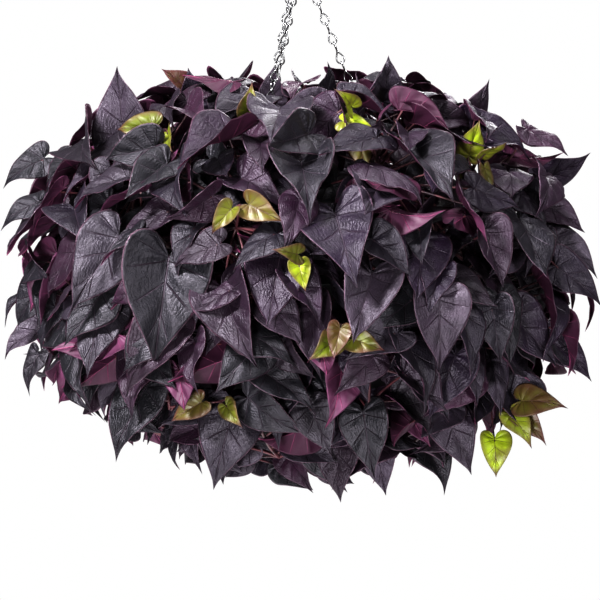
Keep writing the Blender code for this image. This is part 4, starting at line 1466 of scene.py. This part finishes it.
def foliage_tree():
    """Turns leaf points into folded, pleated blades, and path edges into stems and petioles."""
    if "foliage" in bpy.data.node_groups:
        return bpy.data.node_groups["foliage"]
    tree = Tree("foliage")
    template = tree.input("Blade", "NodeSocketObject")
    pleat, ruffle, crumple = [tree.number(name) for name in ("Pleat", "Ruffle", "Crumple")]
    upper, under, skin = [tree.input(name, "NodeSocketMaterial") for name in ("Upper", "Under", "Stem")]
    is_leaf = tree.attribute("is_leaf")
    length = tree.attribute("blade_length")
    split = tree.add("GeometryNodeSeparateGeometry", {
        "Geometry": tree.entry.outputs["Geometry"], "Selection": is_leaf.above(0.5)}, domain="POINT")
    blade = tree.add("GeometryNodeObjectInfo", {"Object": template}, transform_space="ORIGINAL")
    placed = tree.add("GeometryNodeInstanceOnPoints", {
        "Points": split.outputs["Selection"],
        "Instance": blade.outputs["Geometry"],
        "Rotation": tree.turn("normal_axis", "along_axis", primary_axis="Z", secondary_axis="Y"),
        "Scale": length,
    })
    real = tree.add("GeometryNodeRealizeInstances", {"Geometry": placed.outputs["Instances"]})

    across, down, fringe, ray = [tree.attribute(name) for name in ("across", "down", "fringe", "ray")]
    bulge = (fringe * (1.0 - fringe) * 4.0).to_power(BULGE_POWER)
    pleats = (ray * math.pi).cosine() * bulge * pleat
    wave = (ray * RUFFLE_PACE + tree.attribute("phase")).sine() * fringe * fringe * ruffle
    fold = across.size() * tree.attribute("fold") * (1.0 - down * FOLD_FADE)
    droop = down * down.size() * tree.attribute("droop")
    tip = (down - TIP_START).at_least(0.0).to_power(2.0) * tree.attribute("tip_curl")
    twist = across * down * tree.attribute("twist")
    cup = across * across * tree.attribute("cup")
    noise = tree.field(tree.add("ShaderNodeTexNoise", {"Scale": CRUMPLE_SCALE, "Detail": 1.0}))
    crease = (noise - 0.5) * crumple
    rise = fold + pleats + wave + twist + crease - droop - tip - cup
    lift = tree.scaled(tree.vector("normal_axis"), rise * length)
    pinch = tree.scaled(tree.vector("side_axis"), across * tree.attribute("narrow") * length)
    moved = tree.add("ShaderNodeVectorMath", {0: lift, 1: pinch}, operation="SUBTRACT")
    shaped = tree.add("GeometryNodeSetPosition", {
        "Geometry": real.outputs["Geometry"], "Offset": moved.outputs["Vector"]})

    thickness = tree.attribute("thickness")
    paths = tree.add("GeometryNodeMeshToCurve", {"Mesh": split.outputs["Inverted"]})
    sized = tree.add("GeometryNodeSetCurveRadius", {"Curve": paths.outputs[0], "Radius": thickness})
    section = tree.add("GeometryNodeCurvePrimitiveCircle", {"Resolution": 7, "Radius": 1.0})
    tubes = tree.add("GeometryNodeCurveToMesh", {
        "Curve": sized.outputs[0],
        "Profile Curve": section.outputs[0],
        "Scale": thickness,
        "Fill Caps": True,
    })
    joined = tree.add("GeometryNodeJoinGeometry")
    for source in (tubes, shaped):
        tree.feed(joined.inputs[0], source.outputs[0])
    smooth = tree.add("GeometryNodeSetShadeSmooth", {"Geometry": joined.outputs[0]})
    facing = (tree.attribute("level") * tree.attribute("turned")).above(0.0)
    is_stem = (1.0 - is_leaf).above(0.5)
    return tree.finish(smooth.outputs[0], (under, None), (upper, facing), (skin, is_stem))


def petiole_curve(leaf):
    """The petiole's arch from the stem, up and behind the blade, to its junction."""
    start, end = leaf.petiole
    reach = (end - start).length
    middle = start.lerp(end, PETIOLE_CREST) + UP * reach * PETIOLE_RISE - leaf.normal * reach * PETIOLE_BEHIND
    points = []
    for index in range(PETIOLE_STEPS):
        share = index / (PETIOLE_STEPS - 1)
        points.append(start.lerp(middle, share).lerp(middle.lerp(end, share), share))
    return points


def foliage_source(name, stem, stem_sizes, leaves, petiole_size, looks):
    """A mesh that holds a stem's path, the petioles' paths and a point for each leaf."""
    points = []
    edges = []
    thickness = []
    paths = [(stem, stem_sizes)]
    for leaf in leaves:
        path = petiole_curve(leaf)
        shares = [PETIOLE_START - PETIOLE_THINNING * index / len(path) for index in range(len(path))]
        paths.append((path, [petiole_size * share for share in shares]))
    for path, sizes in paths:
        start = len(points)
        points += path
        thickness += sizes
        edges += [(start + index, start + index + 1) for index in range(len(path) - 1)]
    bare = len(points)
    points += [leaf.junction for leaf in leaves]
    mesh = bpy.data.meshes.new(name)
    mesh.from_pydata(points, edges, [])
    pad = [0.0] * bare
    set_attribute(mesh, "is_leaf", pad + [1.0] * len(leaves))
    set_attribute(mesh, "thickness", thickness + [0.0] * len(leaves))
    set_attribute(mesh, "blade_length", pad + [leaf.length for leaf in leaves])
    set_attribute(mesh, "fold", pad + [leaf.fold for leaf in leaves])
    set_attribute(mesh, "droop", pad + [leaf.droop for leaf in leaves])
    for index, fact in enumerate(LEAF_LOOKS):
        set_attribute(mesh, fact, pad + [look[index] for look in looks])
    for axis in ("normal", "along", "side"):
        values = [UP] * bare + [getattr(leaf, axis) for leaf in leaves]
        set_attribute(mesh, axis + "_axis", values, "FLOAT_VECTOR")
    return link_object(name, mesh)


def leaf_looks(leaves, seed, young=False):
    """The value of each of LEAF_LOOKS for each leaf."""
    draw = random.Random(seed)
    looks = []
    for leaf in leaves:
        place = leaf.junction
        tone = draw.random() + TONE_ACROSS * place.x + TONE_UP * (place.z - PLANT_MIDDLE) - TONE_SHIFT
        tone = min(max(tone, 0.0), 1.0)
        blush = min(max(draw.gauss(*BLUSHES), 0.0), 1.0)
        if young:
            blush = draw.choice(YOUNG_BLUSHES)
        if leaf.tone is not None:
            tone = leaf.tone
            blush = leaf.blush
        turned = 1.0
        if leaf.name.startswith("turned"):
            turned = -1.0
            tone = 0.0
        looks.append((
            tone, blush, turned, draw.uniform(0, 2 * math.pi), draw.uniform(*TIP_CURLS),
            draw.uniform(*TWISTS), draw.uniform(*CUPS), draw.uniform(*NARROWINGS),
            min(max(draw.gauss(*PAINTED_SHEENS), 0.0), 1.0),
        ))
    return looks


# Wire goods, the pot and the soil

CAP_WELD = 0.001 * MM
AXIS_WELD = 0.01 * MM
SHARP_ANGLE = math.radians(35)
LINK_CROSSING = 0.9 * MM
# A quarter of a link from its end to its crossing, as shares of its half width and its length
LINK_QUARTER = ((0.0, 0.0), (0.62, 0.035), (1.0, 0.16), (0.72, 0.34))
CORNER_RADIUS = 1.2 * MM
BAND_PLACES = (RIM_TOP - 34 * MM, RIM_TOP - POT_HEIGHT + 30 * MM)
# A band's section: height from the band's middle, and relief
BAND_SECTION = in_metres(((7, 0), (5.5, 1.2), (-5.5, 1.2), (-7, 0)))
CRUMB_SPREAD = 120 * MM
CRUMB_HEIGHT = SOIL_TOP + 3.5 * MM
GRAIN_LEAST = (0.5, 0.5, 0.3)
GRAIN_MOST = (1.3, 1.0, 0.8)
LUMP_SEED = 3
LUMP_COUNT = 10
LUMP_RATES = (40, 160)
FULL_TURN = 6.28
LUMP_SHARE = 0.03
# Grains on the soil: name, number to a square metre, seed, radius and finish
CRUMBS = (
    ("soil_crumbs", 7000, 4, 2.4 * MM, "soil"),
    ("perlite_grains", 2600, 9, 1.7 * MM, "perlite"),
)


def wire(name, points, radius, cyclic=False, sides=4):
    """A smooth wire along the points as a plain mesh with welded caps."""
    curve = bpy.data.curves.new(name, "CURVE")
    curve.dimensions = "3D"
    curve.bevel_depth = radius
    curve.bevel_resolution = sides
    curve.use_fill_caps = not cyclic
    spline = curve.splines.new("POLY")
    spline.points.add(len(points) - 1)
    spline.use_cyclic_u = cyclic
    for index, point in enumerate(points):
        spline.points[index].co = (*point, 1)
    mesh = weld(plain_mesh(link_object(name, curve)), CAP_WELD)
    mesh.shade_smooth()
    return mesh


def closed_curve(points, count):
    """This many points on a smooth closed curve through the given ones."""
    fine = []
    size = len(points)
    each = count // size
    for index in range(size):
        before = points[index - 1]
        start = points[index]
        end = points[(index + 1) % size]
        after = points[(index + 2) % size]
        fine += [between(before, start, end, after, step / each) for step in range(each)]
    return fine


def crown_arc(radius, centre, first, last, count):
    """Points on an arc in the XZ plane, between two angles from +X."""
    points = []
    for index in range(count):
        angle = math.radians(first + (last - first) * index / (count - 1))
        points.append(Vector((radius * math.cos(angle), 0, centre + radius * math.sin(angle))))
    return points


def jack_link_points(length):
    """The bent wire of a jack chain link: two round loops a quarter turn apart."""
    waist = LINK_CROSSING
    half = [(out * LINK_HALF_WIDTH, run * length) for out, run in LINK_QUARTER]
    points = [Vector((across, 0, run)) for across, run in half]
    points.append(Vector((waist, waist, length / 2)))
    points += [Vector((0, across, length - run)) for across, run in reversed(half)]
    points += [Vector((0, -across, length - run)) for across, run in half[1:]]
    points.append(Vector((-waist, -waist, length / 2)))
    points += [Vector((-across, 0, run)) for across, run in reversed(half[1:])]
    return closed_curve(points, 3 * len(points))


def chain_tree():
    """Sets a link on each point, turned by the point's own axes."""
    tree = Tree("chain")
    link = tree.input("Link", "NodeSocketObject")
    finish = tree.input("Wire", "NodeSocketMaterial")
    shape = tree.add("GeometryNodeObjectInfo", {"Object": link}, transform_space="ORIGINAL")
    points = tree.add("GeometryNodeMeshToPoints", {"Mesh": tree.entry.outputs["Geometry"]})
    placed = tree.add("GeometryNodeInstanceOnPoints", {
        "Points": points.outputs[0],
        "Instance": shape.outputs["Geometry"],
        "Rotation": tree.turn("run_axis", "side_axis", primary_axis="Z", secondary_axis="X"),
    })
    return tree.finish(placed.outputs["Instances"], (finish, None))


def chain_places(azimuth, eye_angle):
    """Where each link starts, its side axis, the run and the link's length, as in the frame."""
    start, end = chain_ends(azimuth, eye_angle)
    run = (end - start).normalized()
    angle = math.radians(eye_angle)
    eye_tangent = Vector((math.cos(angle), 0, math.sin(angle)))
    first_side = eye_tangent.cross(run).normalized()
    rim_tangent = polar(1, azimuth + 90, 0)
    last_side = (rim_tangent - rim_tangent.dot(run) * run).normalized()
    if first_side.dot(last_side) < 0:
        last_side = -last_side
    turn = math.atan2(run.dot(first_side.cross(last_side)), first_side.dot(last_side))
    before = HOOK_WIRE + LINK_WIRE + GAP
    after = CLIP_WIRE + LINK_WIRE + GAP
    contact = 2 * LINK_WIRE
    whole = (end - start).length + before + after
    count = round((whole - contact) / LINK_PITCH)
    pitch = (whole - contact) / count
    places = []
    for index in range(count):
        share = turn * index / (count - 1)
        side = first_side * math.cos(share) + run.cross(first_side) * math.sin(share)
        places.append((start + run * (index * pitch - before), side))
    return places, run, pitch + contact


def turned_mesh(name, profile, steps=72):
    """A closed shape turned round Z from a profile of (radius, height) down its outside."""
    mesh = bpy.data.meshes.new(name)
    edges = [(index, index + 1) for index in range(len(profile) - 1)]
    mesh.from_pydata([(radius, 0, height) for radius, height in profile], edges, [])
    obj = link_object(name, mesh)
    screw = obj.modifiers.new("turn", "SCREW")
    screw.steps = steps
    screw.render_steps = steps
    screw.use_merge_vertices = True
    screw.merge_threshold = AXIS_WELD
    return weld(plain_mesh(obj), 0)


def rounded(profile, corners, radius):
    """The profile with the listed corners rounded off."""
    points = []
    for index, spot in enumerate(profile):
        if index not in corners:
            points.append(spot)
            continue
        here = Vector(spot)
        before = (Vector(profile[index - 1]) - here).normalized()
        after = (Vector(profile[index + 1]) - here).normalized()
        for step in range(5):
            share = step / 4
            first = here + before * radius
            last = here + after * radius
            point = first.lerp(here, share).lerp(here.lerp(last, share), share)
            points.append((point.x, point.y))
    return points


def wall_radius(height):
    """The pot's outer radius at this height."""
    slope = (POT_TOP_RADIUS - POT_FOOT_RADIUS) / POT_HEIGHT
    return POT_TOP_RADIUS - slope * (RIM_TOP - height)


def pot_mesh():
    """The tapered pot with a rolled rim, two raised bands and drain holes."""
    foot = RIM_TOP - POT_HEIGHT
    outer = []
    for centre in BAND_PLACES:
        for shift, out in BAND_SECTION:
            height = centre + shift
            outer.append((wall_radius(height) + out, height))
    profile = [
        (0, foot + WALL),
        (POT_FOOT_RADIUS - WALL, foot + WALL),
        (POT_TOP_RADIUS - WALL, RIM_TOP),
        (RIM_RADIUS, RIM_TOP),
        (RIM_RADIUS, RIM_TOP - SKIRT),
        (RIM_RADIUS - WALL, RIM_TOP - SKIRT),
        (RIM_RADIUS - WALL, RIM_TOP - WALL),
        (POT_TOP_RADIUS, RIM_TOP - WALL),
        *outer,
        (POT_FOOT_RADIUS, foot),
        (0, foot),
    ]
    last = len(profile) - 2
    mesh = turned_mesh("pot", rounded(profile, {1, 2, 3, 4, 5, last}, CORNER_RADIUS))
    pot = link_object("pot_blank", mesh)
    cutters = []
    spots = [(polar(DRAIN_RING, 45 + 90 * index, foot), DRAIN_RADIUS, 6 * WALL) for index in range(4)]
    spots += [(polar(CHAIN_RADIUS, azimuth, RIM_TOP), CLIP_HOLE, 4 * WALL) for azimuth, _ in CHAINS.values()]
    for centre, radius, depth in spots:
        bpy.ops.mesh.primitive_cylinder_add(vertices=24, radius=radius, depth=depth, location=centre)
        cutter = bpy.context.object
        cutters.append(cutter)
        hole = pot.modifiers.new("hole", "BOOLEAN")
        hole.operation = "DIFFERENCE"
        hole.object = cutter
    made = plain_mesh(pot)
    for cutter in cutters:
        bpy.data.objects.remove(cutter, do_unlink=True)
    made.shade_smooth()
    made.set_sharp_from_angle(angle=SHARP_ANGLE)
    return made


def crumb_tree():
    """Scatters rough grains of different sizes over the top of the soil."""
    tree = Tree("crumbs")
    density = tree.number("Density")
    seed = tree.input("Seed", "NodeSocketInt")
    size = tree.number("Size")
    finish = tree.input("Grain", "NodeSocketMaterial")
    spread = tree.add("GeometryNodeDistributePointsOnFaces", {
        "Mesh": tree.entry.outputs["Geometry"], "Density": density, "Seed": seed})
    grain = tree.add("GeometryNodeMeshIcoSphere", {"Radius": 1.0, "Subdivisions": 2})
    turn = tree.add("FunctionNodeRandomValue", {"Max": [FULL_TURN] * 3}, data_type="FLOAT_VECTOR")
    scale = tree.add(
        "FunctionNodeRandomValue", {"Min": GRAIN_LEAST, "Max": GRAIN_MOST}, data_type="FLOAT_VECTOR")
    placed = tree.add("GeometryNodeInstanceOnPoints", {
        "Points": spread.outputs["Points"],
        "Instance": grain.outputs["Mesh"],
        "Rotation": turn.outputs[0],
        "Scale": tree.scaled(scale.outputs[0], size),
    })
    return tree.finish(placed.outputs["Instances"], (finish, None))


def soil_top_mesh():
    """The soil's lumpy top, out to the pot's wall, and its plain body below."""
    foot = RIM_TOP - POT_HEIGHT + WALL + GAP
    spare = WALL + 2 * GAP
    edge = wall_radius(SOIL_TOP) - spare
    rings = 20
    profile = [
        (edge * index / rings, SOIL_TOP + SOIL_DOME * (1 - (index / rings) ** 2))
        for index in range(rings + 1)
    ]
    profile += [(wall_radius(foot) - spare, foot), (0, foot)]
    mesh = turned_mesh("soil", profile, 64)
    draw = random.Random(LUMP_SEED)
    waves = [
        (draw.uniform(*LUMP_RATES), draw.uniform(0, FULL_TURN), draw.uniform(0, FULL_TURN))
        for _ in range(LUMP_COUNT)
    ]
    for vertex in mesh.vertices:
        place = vertex.co
        if place.z < SOIL_TOP - MM:
            continue
        fade = 1 - (math.hypot(place.x, place.y) / edge) ** 6
        height = sum(
            math.sin(rate * (place.x * math.cos(turn) + place.y * math.sin(turn)) + phase) / rate
            for rate, turn, phase in waves
        )
        place.z += fade * height * LUMP_SHARE
    mesh.shade_smooth()
    return mesh


# Settings, operators and panel


def size_setting(name, description, default):
    return FloatProperty(name=name, description=description, default=default, unit="LENGTH", precision=4)


def share_setting(name, description, default):
    return FloatProperty(name=name, description=description + ", as a share of length", default=default)


def count_setting(name, description, default):
    return IntProperty(name=name, description=description, default=default)


def colour_setting(name, description, default):
    return FloatVectorProperty(
        name=name, description=description, default=default, subtype="COLOR", size=3, min=0, max=1)


class VineSettings(bpy.types.PropertyGroup):
    """The sizes and colours of the vine and its basket."""

    outer_fill: count_setting("Outer fill", "Seats for leaves level with the plain ones", 560)
    middle_fill: count_setting("Middle fill", "Seats for leaves just behind those", 330)
    inner_fill: count_setting("Inner fill", "Seats for leaves deep in the plant", 240)
    blade_thickness: FloatProperty(
        name="Blade thickness", description="Thickness of a blade in mm", default=0.6)
    pleat: share_setting("Pleat", "Height of the bulges between veins", 0.018)
    ruffle: share_setting("Ruffle", "Height of the margin's waves", 0.04)
    crumple: share_setting("Crumple", "Height of a blade's uneven bulges", 0.13)
    leaf_green_black: colour_setting("Green-black", "Upper side, greener leaves", (0.0080, 0.0090, 0.0112))
    leaf_purple_black: colour_setting("Purple-black", "Upper side, purpler leaves", (0.0185, 0.0076, 0.0250))
    leaf_wine: colour_setting("Wine", "Upper side of the reddest leaves", (0.050, 0.012, 0.036))
    # Painted sheen: the grey-lilac highlight colour that is mixed into the upper side of some leaves
    leaf_painted_sheen: colour_setting("Bloom", "The greyish film on some leaves", (0.066, 0.050, 0.072))
    leaf_vein: colour_setting("Vein", "Veins on the upper side", (0.075, 0.05, 0.07))
    leaf_edge: colour_setting("Edge", "The blade's thin edge", (0.30, 0.15, 0.22))
    leaf_under: colour_setting("Underside", "The paler undersides", (0.135, 0.042, 0.094))
    leaf_under_dark: colour_setting("Dark underside", "The deeper undersides", (0.06, 0.015, 0.038))
    young_green: colour_setting("Young green", "The greener young leaves", (0.12, 0.14, 0.012))
    young_lime: colour_setting("Lime", "The brightest young leaves", (0.36, 0.46, 0.018))
    young_bronze: colour_setting("Bronze", "The bronzed young leaves", (0.075, 0.024, 0.018))
    young_edge: colour_setting("Young edge", "The edge of a young leaf", (0.10, 0.03, 0.04))
    stem_dark: colour_setting("Dark stem", "The darker stems", (0.022, 0.010, 0.016))
    stem_pink: colour_setting("Pink stem", "The pinker petioles", (0.13, 0.04, 0.05))
    pot_colour: colour_setting("Pot", "The pot's plastic", (0.012, 0.012, 0.013))
    floor_colour: colour_setting("Floor", "The studio floor", (0.93, 0.93, 0.93))
    camera_distance: size_setting("Camera distance", "From the camera to the plant's middle", CAMERA_DISTANCE)
    frame_width: size_setting("Frame width", "The width that the frame takes in at the plant", 0.72)


def foliage_values(settings, upper, under):
    return {
        "Blade": bpy.data.objects["blade_template"],
        "Pleat": settings.pleat,
        "Ruffle": settings.ruffle,
        "Crumple": settings.crumple,
        "Upper": finish_of(upper),
        "Under": finish_of(under),
        "Stem": finish_of("stem"),
    }


# What a stem loses of its thickness, the points along the stems' paths, and the looks' first seeds
STEM_THINNING = 0.3
STEM_POINTS = 30
SHOOT_POINTS = 12
VINE_LOOKS = 100
SHOOT_LOOKS = 300
TIP_LOOKS = 400


def foliage(name, stem, radius, leaves, petiole_size, looks, kinds):
    """The mesh of a stem that tapers along its path, with its petioles and leaves."""
    sizes = [radius * (1 - STEM_THINNING * step / len(stem)) for step in range(len(stem))]
    source = foliage_source(name + "_source", stem, sizes, leaves, petiole_size, looks)
    return run_tree(source, foliage_tree(), foliage_values(bpy.context.scene.vine_settings, *kinds))


class VINE_OT_leafy_vines(bpy.types.Operator):
    """Grow every leafy vine in place of its plain solid"""

    bl_idname = "vine.leafy_vines"
    bl_label = "Leafy vines"

    def execute(self, context):
        settings = context.scene.vine_settings
        layout = plan(settings)
        if "blade_template" not in bpy.data.objects:
            blade_template(settings)
        for index, (name, path) in enumerate(layout["vines"].items()):
            leaves = [leaf for leaf in layout["leaves"] if leaf.vine == name]
            stem = [path[0], *smooth_path(path[1:], STEM_POINTS)]
            looks = leaf_looks(leaves, VINE_LOOKS + index)
            mesh = foliage(name, stem, STEM_RADIUS, leaves, PETIOLE_RADIUS, looks, ("upper", "under"))
            finish_piece(name + "_foliage", mesh, "dark_leaf", name)
        return {"FINISHED"}


class VINE_OT_young_shoots(bpy.types.Operator):
    """Grow the young chartreuse shoots"""

    bl_idname = "vine.young_shoots"
    bl_label = "Young shoots"

    def execute(self, context):
        layout = plan(context.scene.vine_settings)
        both = ("young", "young")
        for index, (name, (path, leaves)) in enumerate(layout["shoots"].items()):
            looks = leaf_looks(leaves, SHOOT_LOOKS + index, young=True)
            stem = smooth_path(path, SHOOT_POINTS)
            mesh = foliage(name, stem, SHOOT_STEM, leaves, SHOOT_PETIOLE, looks, both)
            finish_piece(name + "_foliage", mesh, "young_leaf", name)
        tips = layout["tips"]
        looks = leaf_looks(tips, TIP_LOOKS, young=True)
        mesh = foliage("young_tips", [], 0, tips, SHOOT_PETIOLE, looks, both)
        finish_piece("young_tips", mesh, "young_leaf")
        return {"FINISHED"}


class VINE_OT_chains(bpy.types.Operator):
    """Hang the three jack chains and their rim clips"""

    bl_idname = "vine.chains"
    bl_label = "Chains and clips"

    def execute(self, context):
        tree = chain_tree()
        for name, (azimuth, eye_angle) in CHAINS.items():
            places, run, length = chain_places(azimuth, eye_angle)
            shape = wire("link", jack_link_points(length), LINK_WIRE, cyclic=True, sides=2)
            link = link_object("link", shape)
            mesh = bpy.data.meshes.new(name)
            mesh.from_pydata([spot for spot, _ in places], [], [])
            set_attribute(mesh, "run_axis", [run] * len(places), "FLOAT_VECTOR")
            set_attribute(mesh, "side_axis", [side for _, side in places], "FLOAT_VECTOR")
            source = link_object(name + "_source", mesh)
            made = run_tree(source, tree, {"Link": link, "Wire": finish_of("steel")})
            bpy.data.objects.remove(link, do_unlink=True)
            made.shade_smooth()
            finish_piece(name + "_links", made, "chain_steel", name)
            self.clip(name.replace("chain", "rim_clip"), azimuth)
        return {"FINISHED"}

    def clip(self, name, azimuth):
        centre = polar(CHAIN_RADIUS, azimuth, RIM_TOP)
        outward = polar(1, azimuth, 0)
        tangent = polar(1, azimuth + 90, 0)
        foot = -(WALL + GAP + CLIP_WIRE)
        bends = [
            centre - outward * CLIP_FOOT * 0.6 + UP * foot,
            centre - outward * 2.4 * MM + UP * foot,
            centre - outward * 0.5 * MM + UP * (foot + 0.6 * MM),
            centre + UP * (foot + 2.4 * MM),
            centre + UP * (CLIP_SHANK - 1 * MM),
        ]
        eye = centre + UP * (CLIP_SHANK + CLIP_EYE_RADIUS)
        for index in range(CLIP_EYE_STEPS + 1):
            angle = math.radians(-90 + CLIP_EYE_SWEEP * index / CLIP_EYE_STEPS)
            bends.append(eye + CLIP_EYE_RADIUS * (math.cos(angle) * tangent + math.sin(angle) * UP))
        mesh = wire(name, bends, CLIP_WIRE, sides=4)
        mesh.materials.append(finish_of("steel"))
        finish_piece(name + "_wire", mesh, "chain_steel", name)


class VINE_OT_hook(bpy.types.Operator):
    """Bend the hanger's open hook"""

    bl_idname = "vine.hook"
    bl_label = "Hanging hook"

    def execute(self, context):
        points = crown_arc(CROOK_RADIUS, CROOK_CENTRE, CROOK_START, CROOK_END, CROOK_STEPS)
        points += smooth_path([
            points[-1],
            Vector((SHANK_LEAN, 0, SHANK_TOP + SHANK_BEND)),
            Vector((0, 0, SHANK_TOP - SHANK_BEND)),
            Vector((0, 0, SHANK_END + SHANK_BEND)),
        ], SHANK_STEPS)[1:]
        points += crown_arc(EYE_RADIUS, EYE_CENTRE, 90, 90 - EYE_SWEEP, EYE_STEPS)
        mesh = wire("hook", points, HOOK_WIRE, sides=5)
        mesh.materials.append(finish_of("steel"))
        finish_piece("hook_wire", mesh, "chain_steel", "hanger_hook")
        return {"FINISHED"}


class VINE_OT_pot(bpy.types.Operator):
    """Mould the pot"""

    bl_idname = "vine.pot"
    bl_label = "Pot"

    def execute(self, context):
        mesh = pot_mesh()
        mesh.materials.clear()
        mesh.materials.append(finish_of("pot"))
        finish_piece("pot_shell", mesh, "pot_plastic", "pot")
        return {"FINISHED"}


class VINE_OT_soil(bpy.types.Operator):
    """Fill the pot with potting mix and its grains"""

    bl_idname = "vine.soil"
    bl_label = "Soil"

    def execute(self, context):
        tree = crumb_tree()
        top = soil_top_mesh()
        top.materials.append(finish_of("soil"))
        finish_piece("potting_mix", top, "soil_mix", "soil")
        for name, density, seed, size, finish in CRUMBS:
            source = link_object(name + "_source", disc(name, CRUMB_SPREAD, CRUMB_HEIGHT, 40))
            mesh = run_tree(source, tree, {
                "Density": density, "Seed": seed, "Size": size, "Grain": finish_of(finish)})
            mesh.shade_smooth()
            finish_piece(name, mesh, "soil_mix")
        return {"FINISHED"}


class VINE_OT_stage(bpy.types.Operator):
    """Set the pale floor, the soft lights and the camera"""

    bl_idname = "vine.stage"
    bl_label = "Stage"

    def execute(self, context):
        settings = context.scene.vine_settings
        for name in ("Cube", "Light", "Camera"):
            if name in bpy.data.objects:
                bpy.data.objects.remove(bpy.data.objects[name], do_unlink=True)
        self.floor(settings)
        self.lights(context)
        self.camera(context, settings)
        return {"FINISHED"}

    def floor(self, settings):
        mesh = disc("floor", FLOOR_RADIUS, FLOOR_HEIGHT, 96)
        finish = Finish("floor_paint", 0.1, {"Roughness": 0.9})
        grain = finish.noise(3)
        finish.colour(finish.mix(grain * 0.2, settings.floor_colour, (0.9, 0.9, 0.9)))
        mesh.materials.append(finish.material)
        link_object("floor", mesh)

    def lights(self, context):
        world = bpy.data.worlds.new("studio")
        world.use_nodes = True
        sky = world.node_tree.nodes["Background"]
        nodes = Nodes(world.node_tree)
        white = nodes.field(nodes.add("ShaderNodeLightPath"), "Is Camera Ray")
        direction = nodes.add("ShaderNodeTexCoord").outputs["Generated"]
        height = nodes.field(nodes.add("ShaderNodeSeparateXYZ", {0: direction}), "Z")
        glow = (height + 0.5).at_least(0.0) * WORLD_SLOPE + WORLD_STRENGTH
        nodes.feed(sky.inputs["Color"], (1, 1, 1, 1))
        nodes.feed(sky.inputs["Strength"], (1.0 - white) * glow + white)
        context.scene.world = world
        middle = Vector((0, 0, PLANT_MIDDLE))
        for name, place, power, size in LIGHTS:
            data = bpy.data.lights.new(name, "AREA")
            data.energy = power
            data.size = size
            light = bpy.data.objects.new(name, data)
            light.location = place
            light.rotation_euler = (middle - Vector(place)).to_track_quat("-Z", "Y").to_euler()
            context.scene.collection.objects.link(light)
        context.scene.view_settings.view_transform = "Standard"
        context.scene.view_settings.look = "None"
        context.scene.view_settings.gamma = PRINT_GAMMA

    def camera(self, context, settings):
        data = bpy.data.cameras.new("camera")
        data.sensor_width = 36
        data.lens = data.sensor_width * settings.camera_distance / settings.frame_width
        data.clip_end = 100
        camera = bpy.data.objects.new("camera", data)
        tilt = math.radians(CAMERA_ELEVATION)
        middle = Vector((0, 0, PLANT_MIDDLE))
        away = Vector((0, -math.cos(tilt), math.sin(tilt)))
        camera.location = middle + away * settings.camera_distance
        camera.rotation_euler = (-away).to_track_quat("-Z", "Y").to_euler()
        context.scene.collection.objects.link(camera)
        context.scene.camera = camera


PIECES = (
    VINE_OT_stage,
    VINE_OT_leafy_vines,
    VINE_OT_young_shoots,
    VINE_OT_chains,
    VINE_OT_hook,
    VINE_OT_pot,
    VINE_OT_soil,
)


class VINE_PT_panel(bpy.types.Panel):
    """Lists the vine's settings and its builders"""

    bl_idname = "VINE_PT_panel"
    bl_label = "Sweet potato vine"
    bl_space_type = "VIEW_3D"
    bl_region_type = "UI"
    bl_category = "Vine"

    def draw(self, context):
        settings = context.scene.vine_settings
        for name in VineSettings.__annotations__:
            self.layout.prop(settings, name)
        for piece in PIECES:
            self.layout.operator(piece.bl_idname)


def register():
    for entry in (VineSettings, *PIECES, VINE_PT_panel):
        bpy.utils.register_class(entry)
    bpy.types.Scene.vine_settings = PointerProperty(type=VineSettings)


def unregister():
    del bpy.types.Scene.vine_settings
    for entry in reversed((VineSettings, *PIECES, VINE_PT_panel)):
        bpy.utils.unregister_class(entry)


def main():
    register()
    bpy.ops.vine.stage()
    bpy.ops.vine.leafy_vines()
    bpy.ops.vine.young_shoots()
    bpy.ops.vine.chains()
    bpy.ops.vine.hook()
    bpy.ops.vine.pot()
    bpy.ops.vine.soil()
    bpy.data.objects.remove(bpy.data.objects["blade_template"], do_unlink=True)


if __name__ == "__main__":
    main()
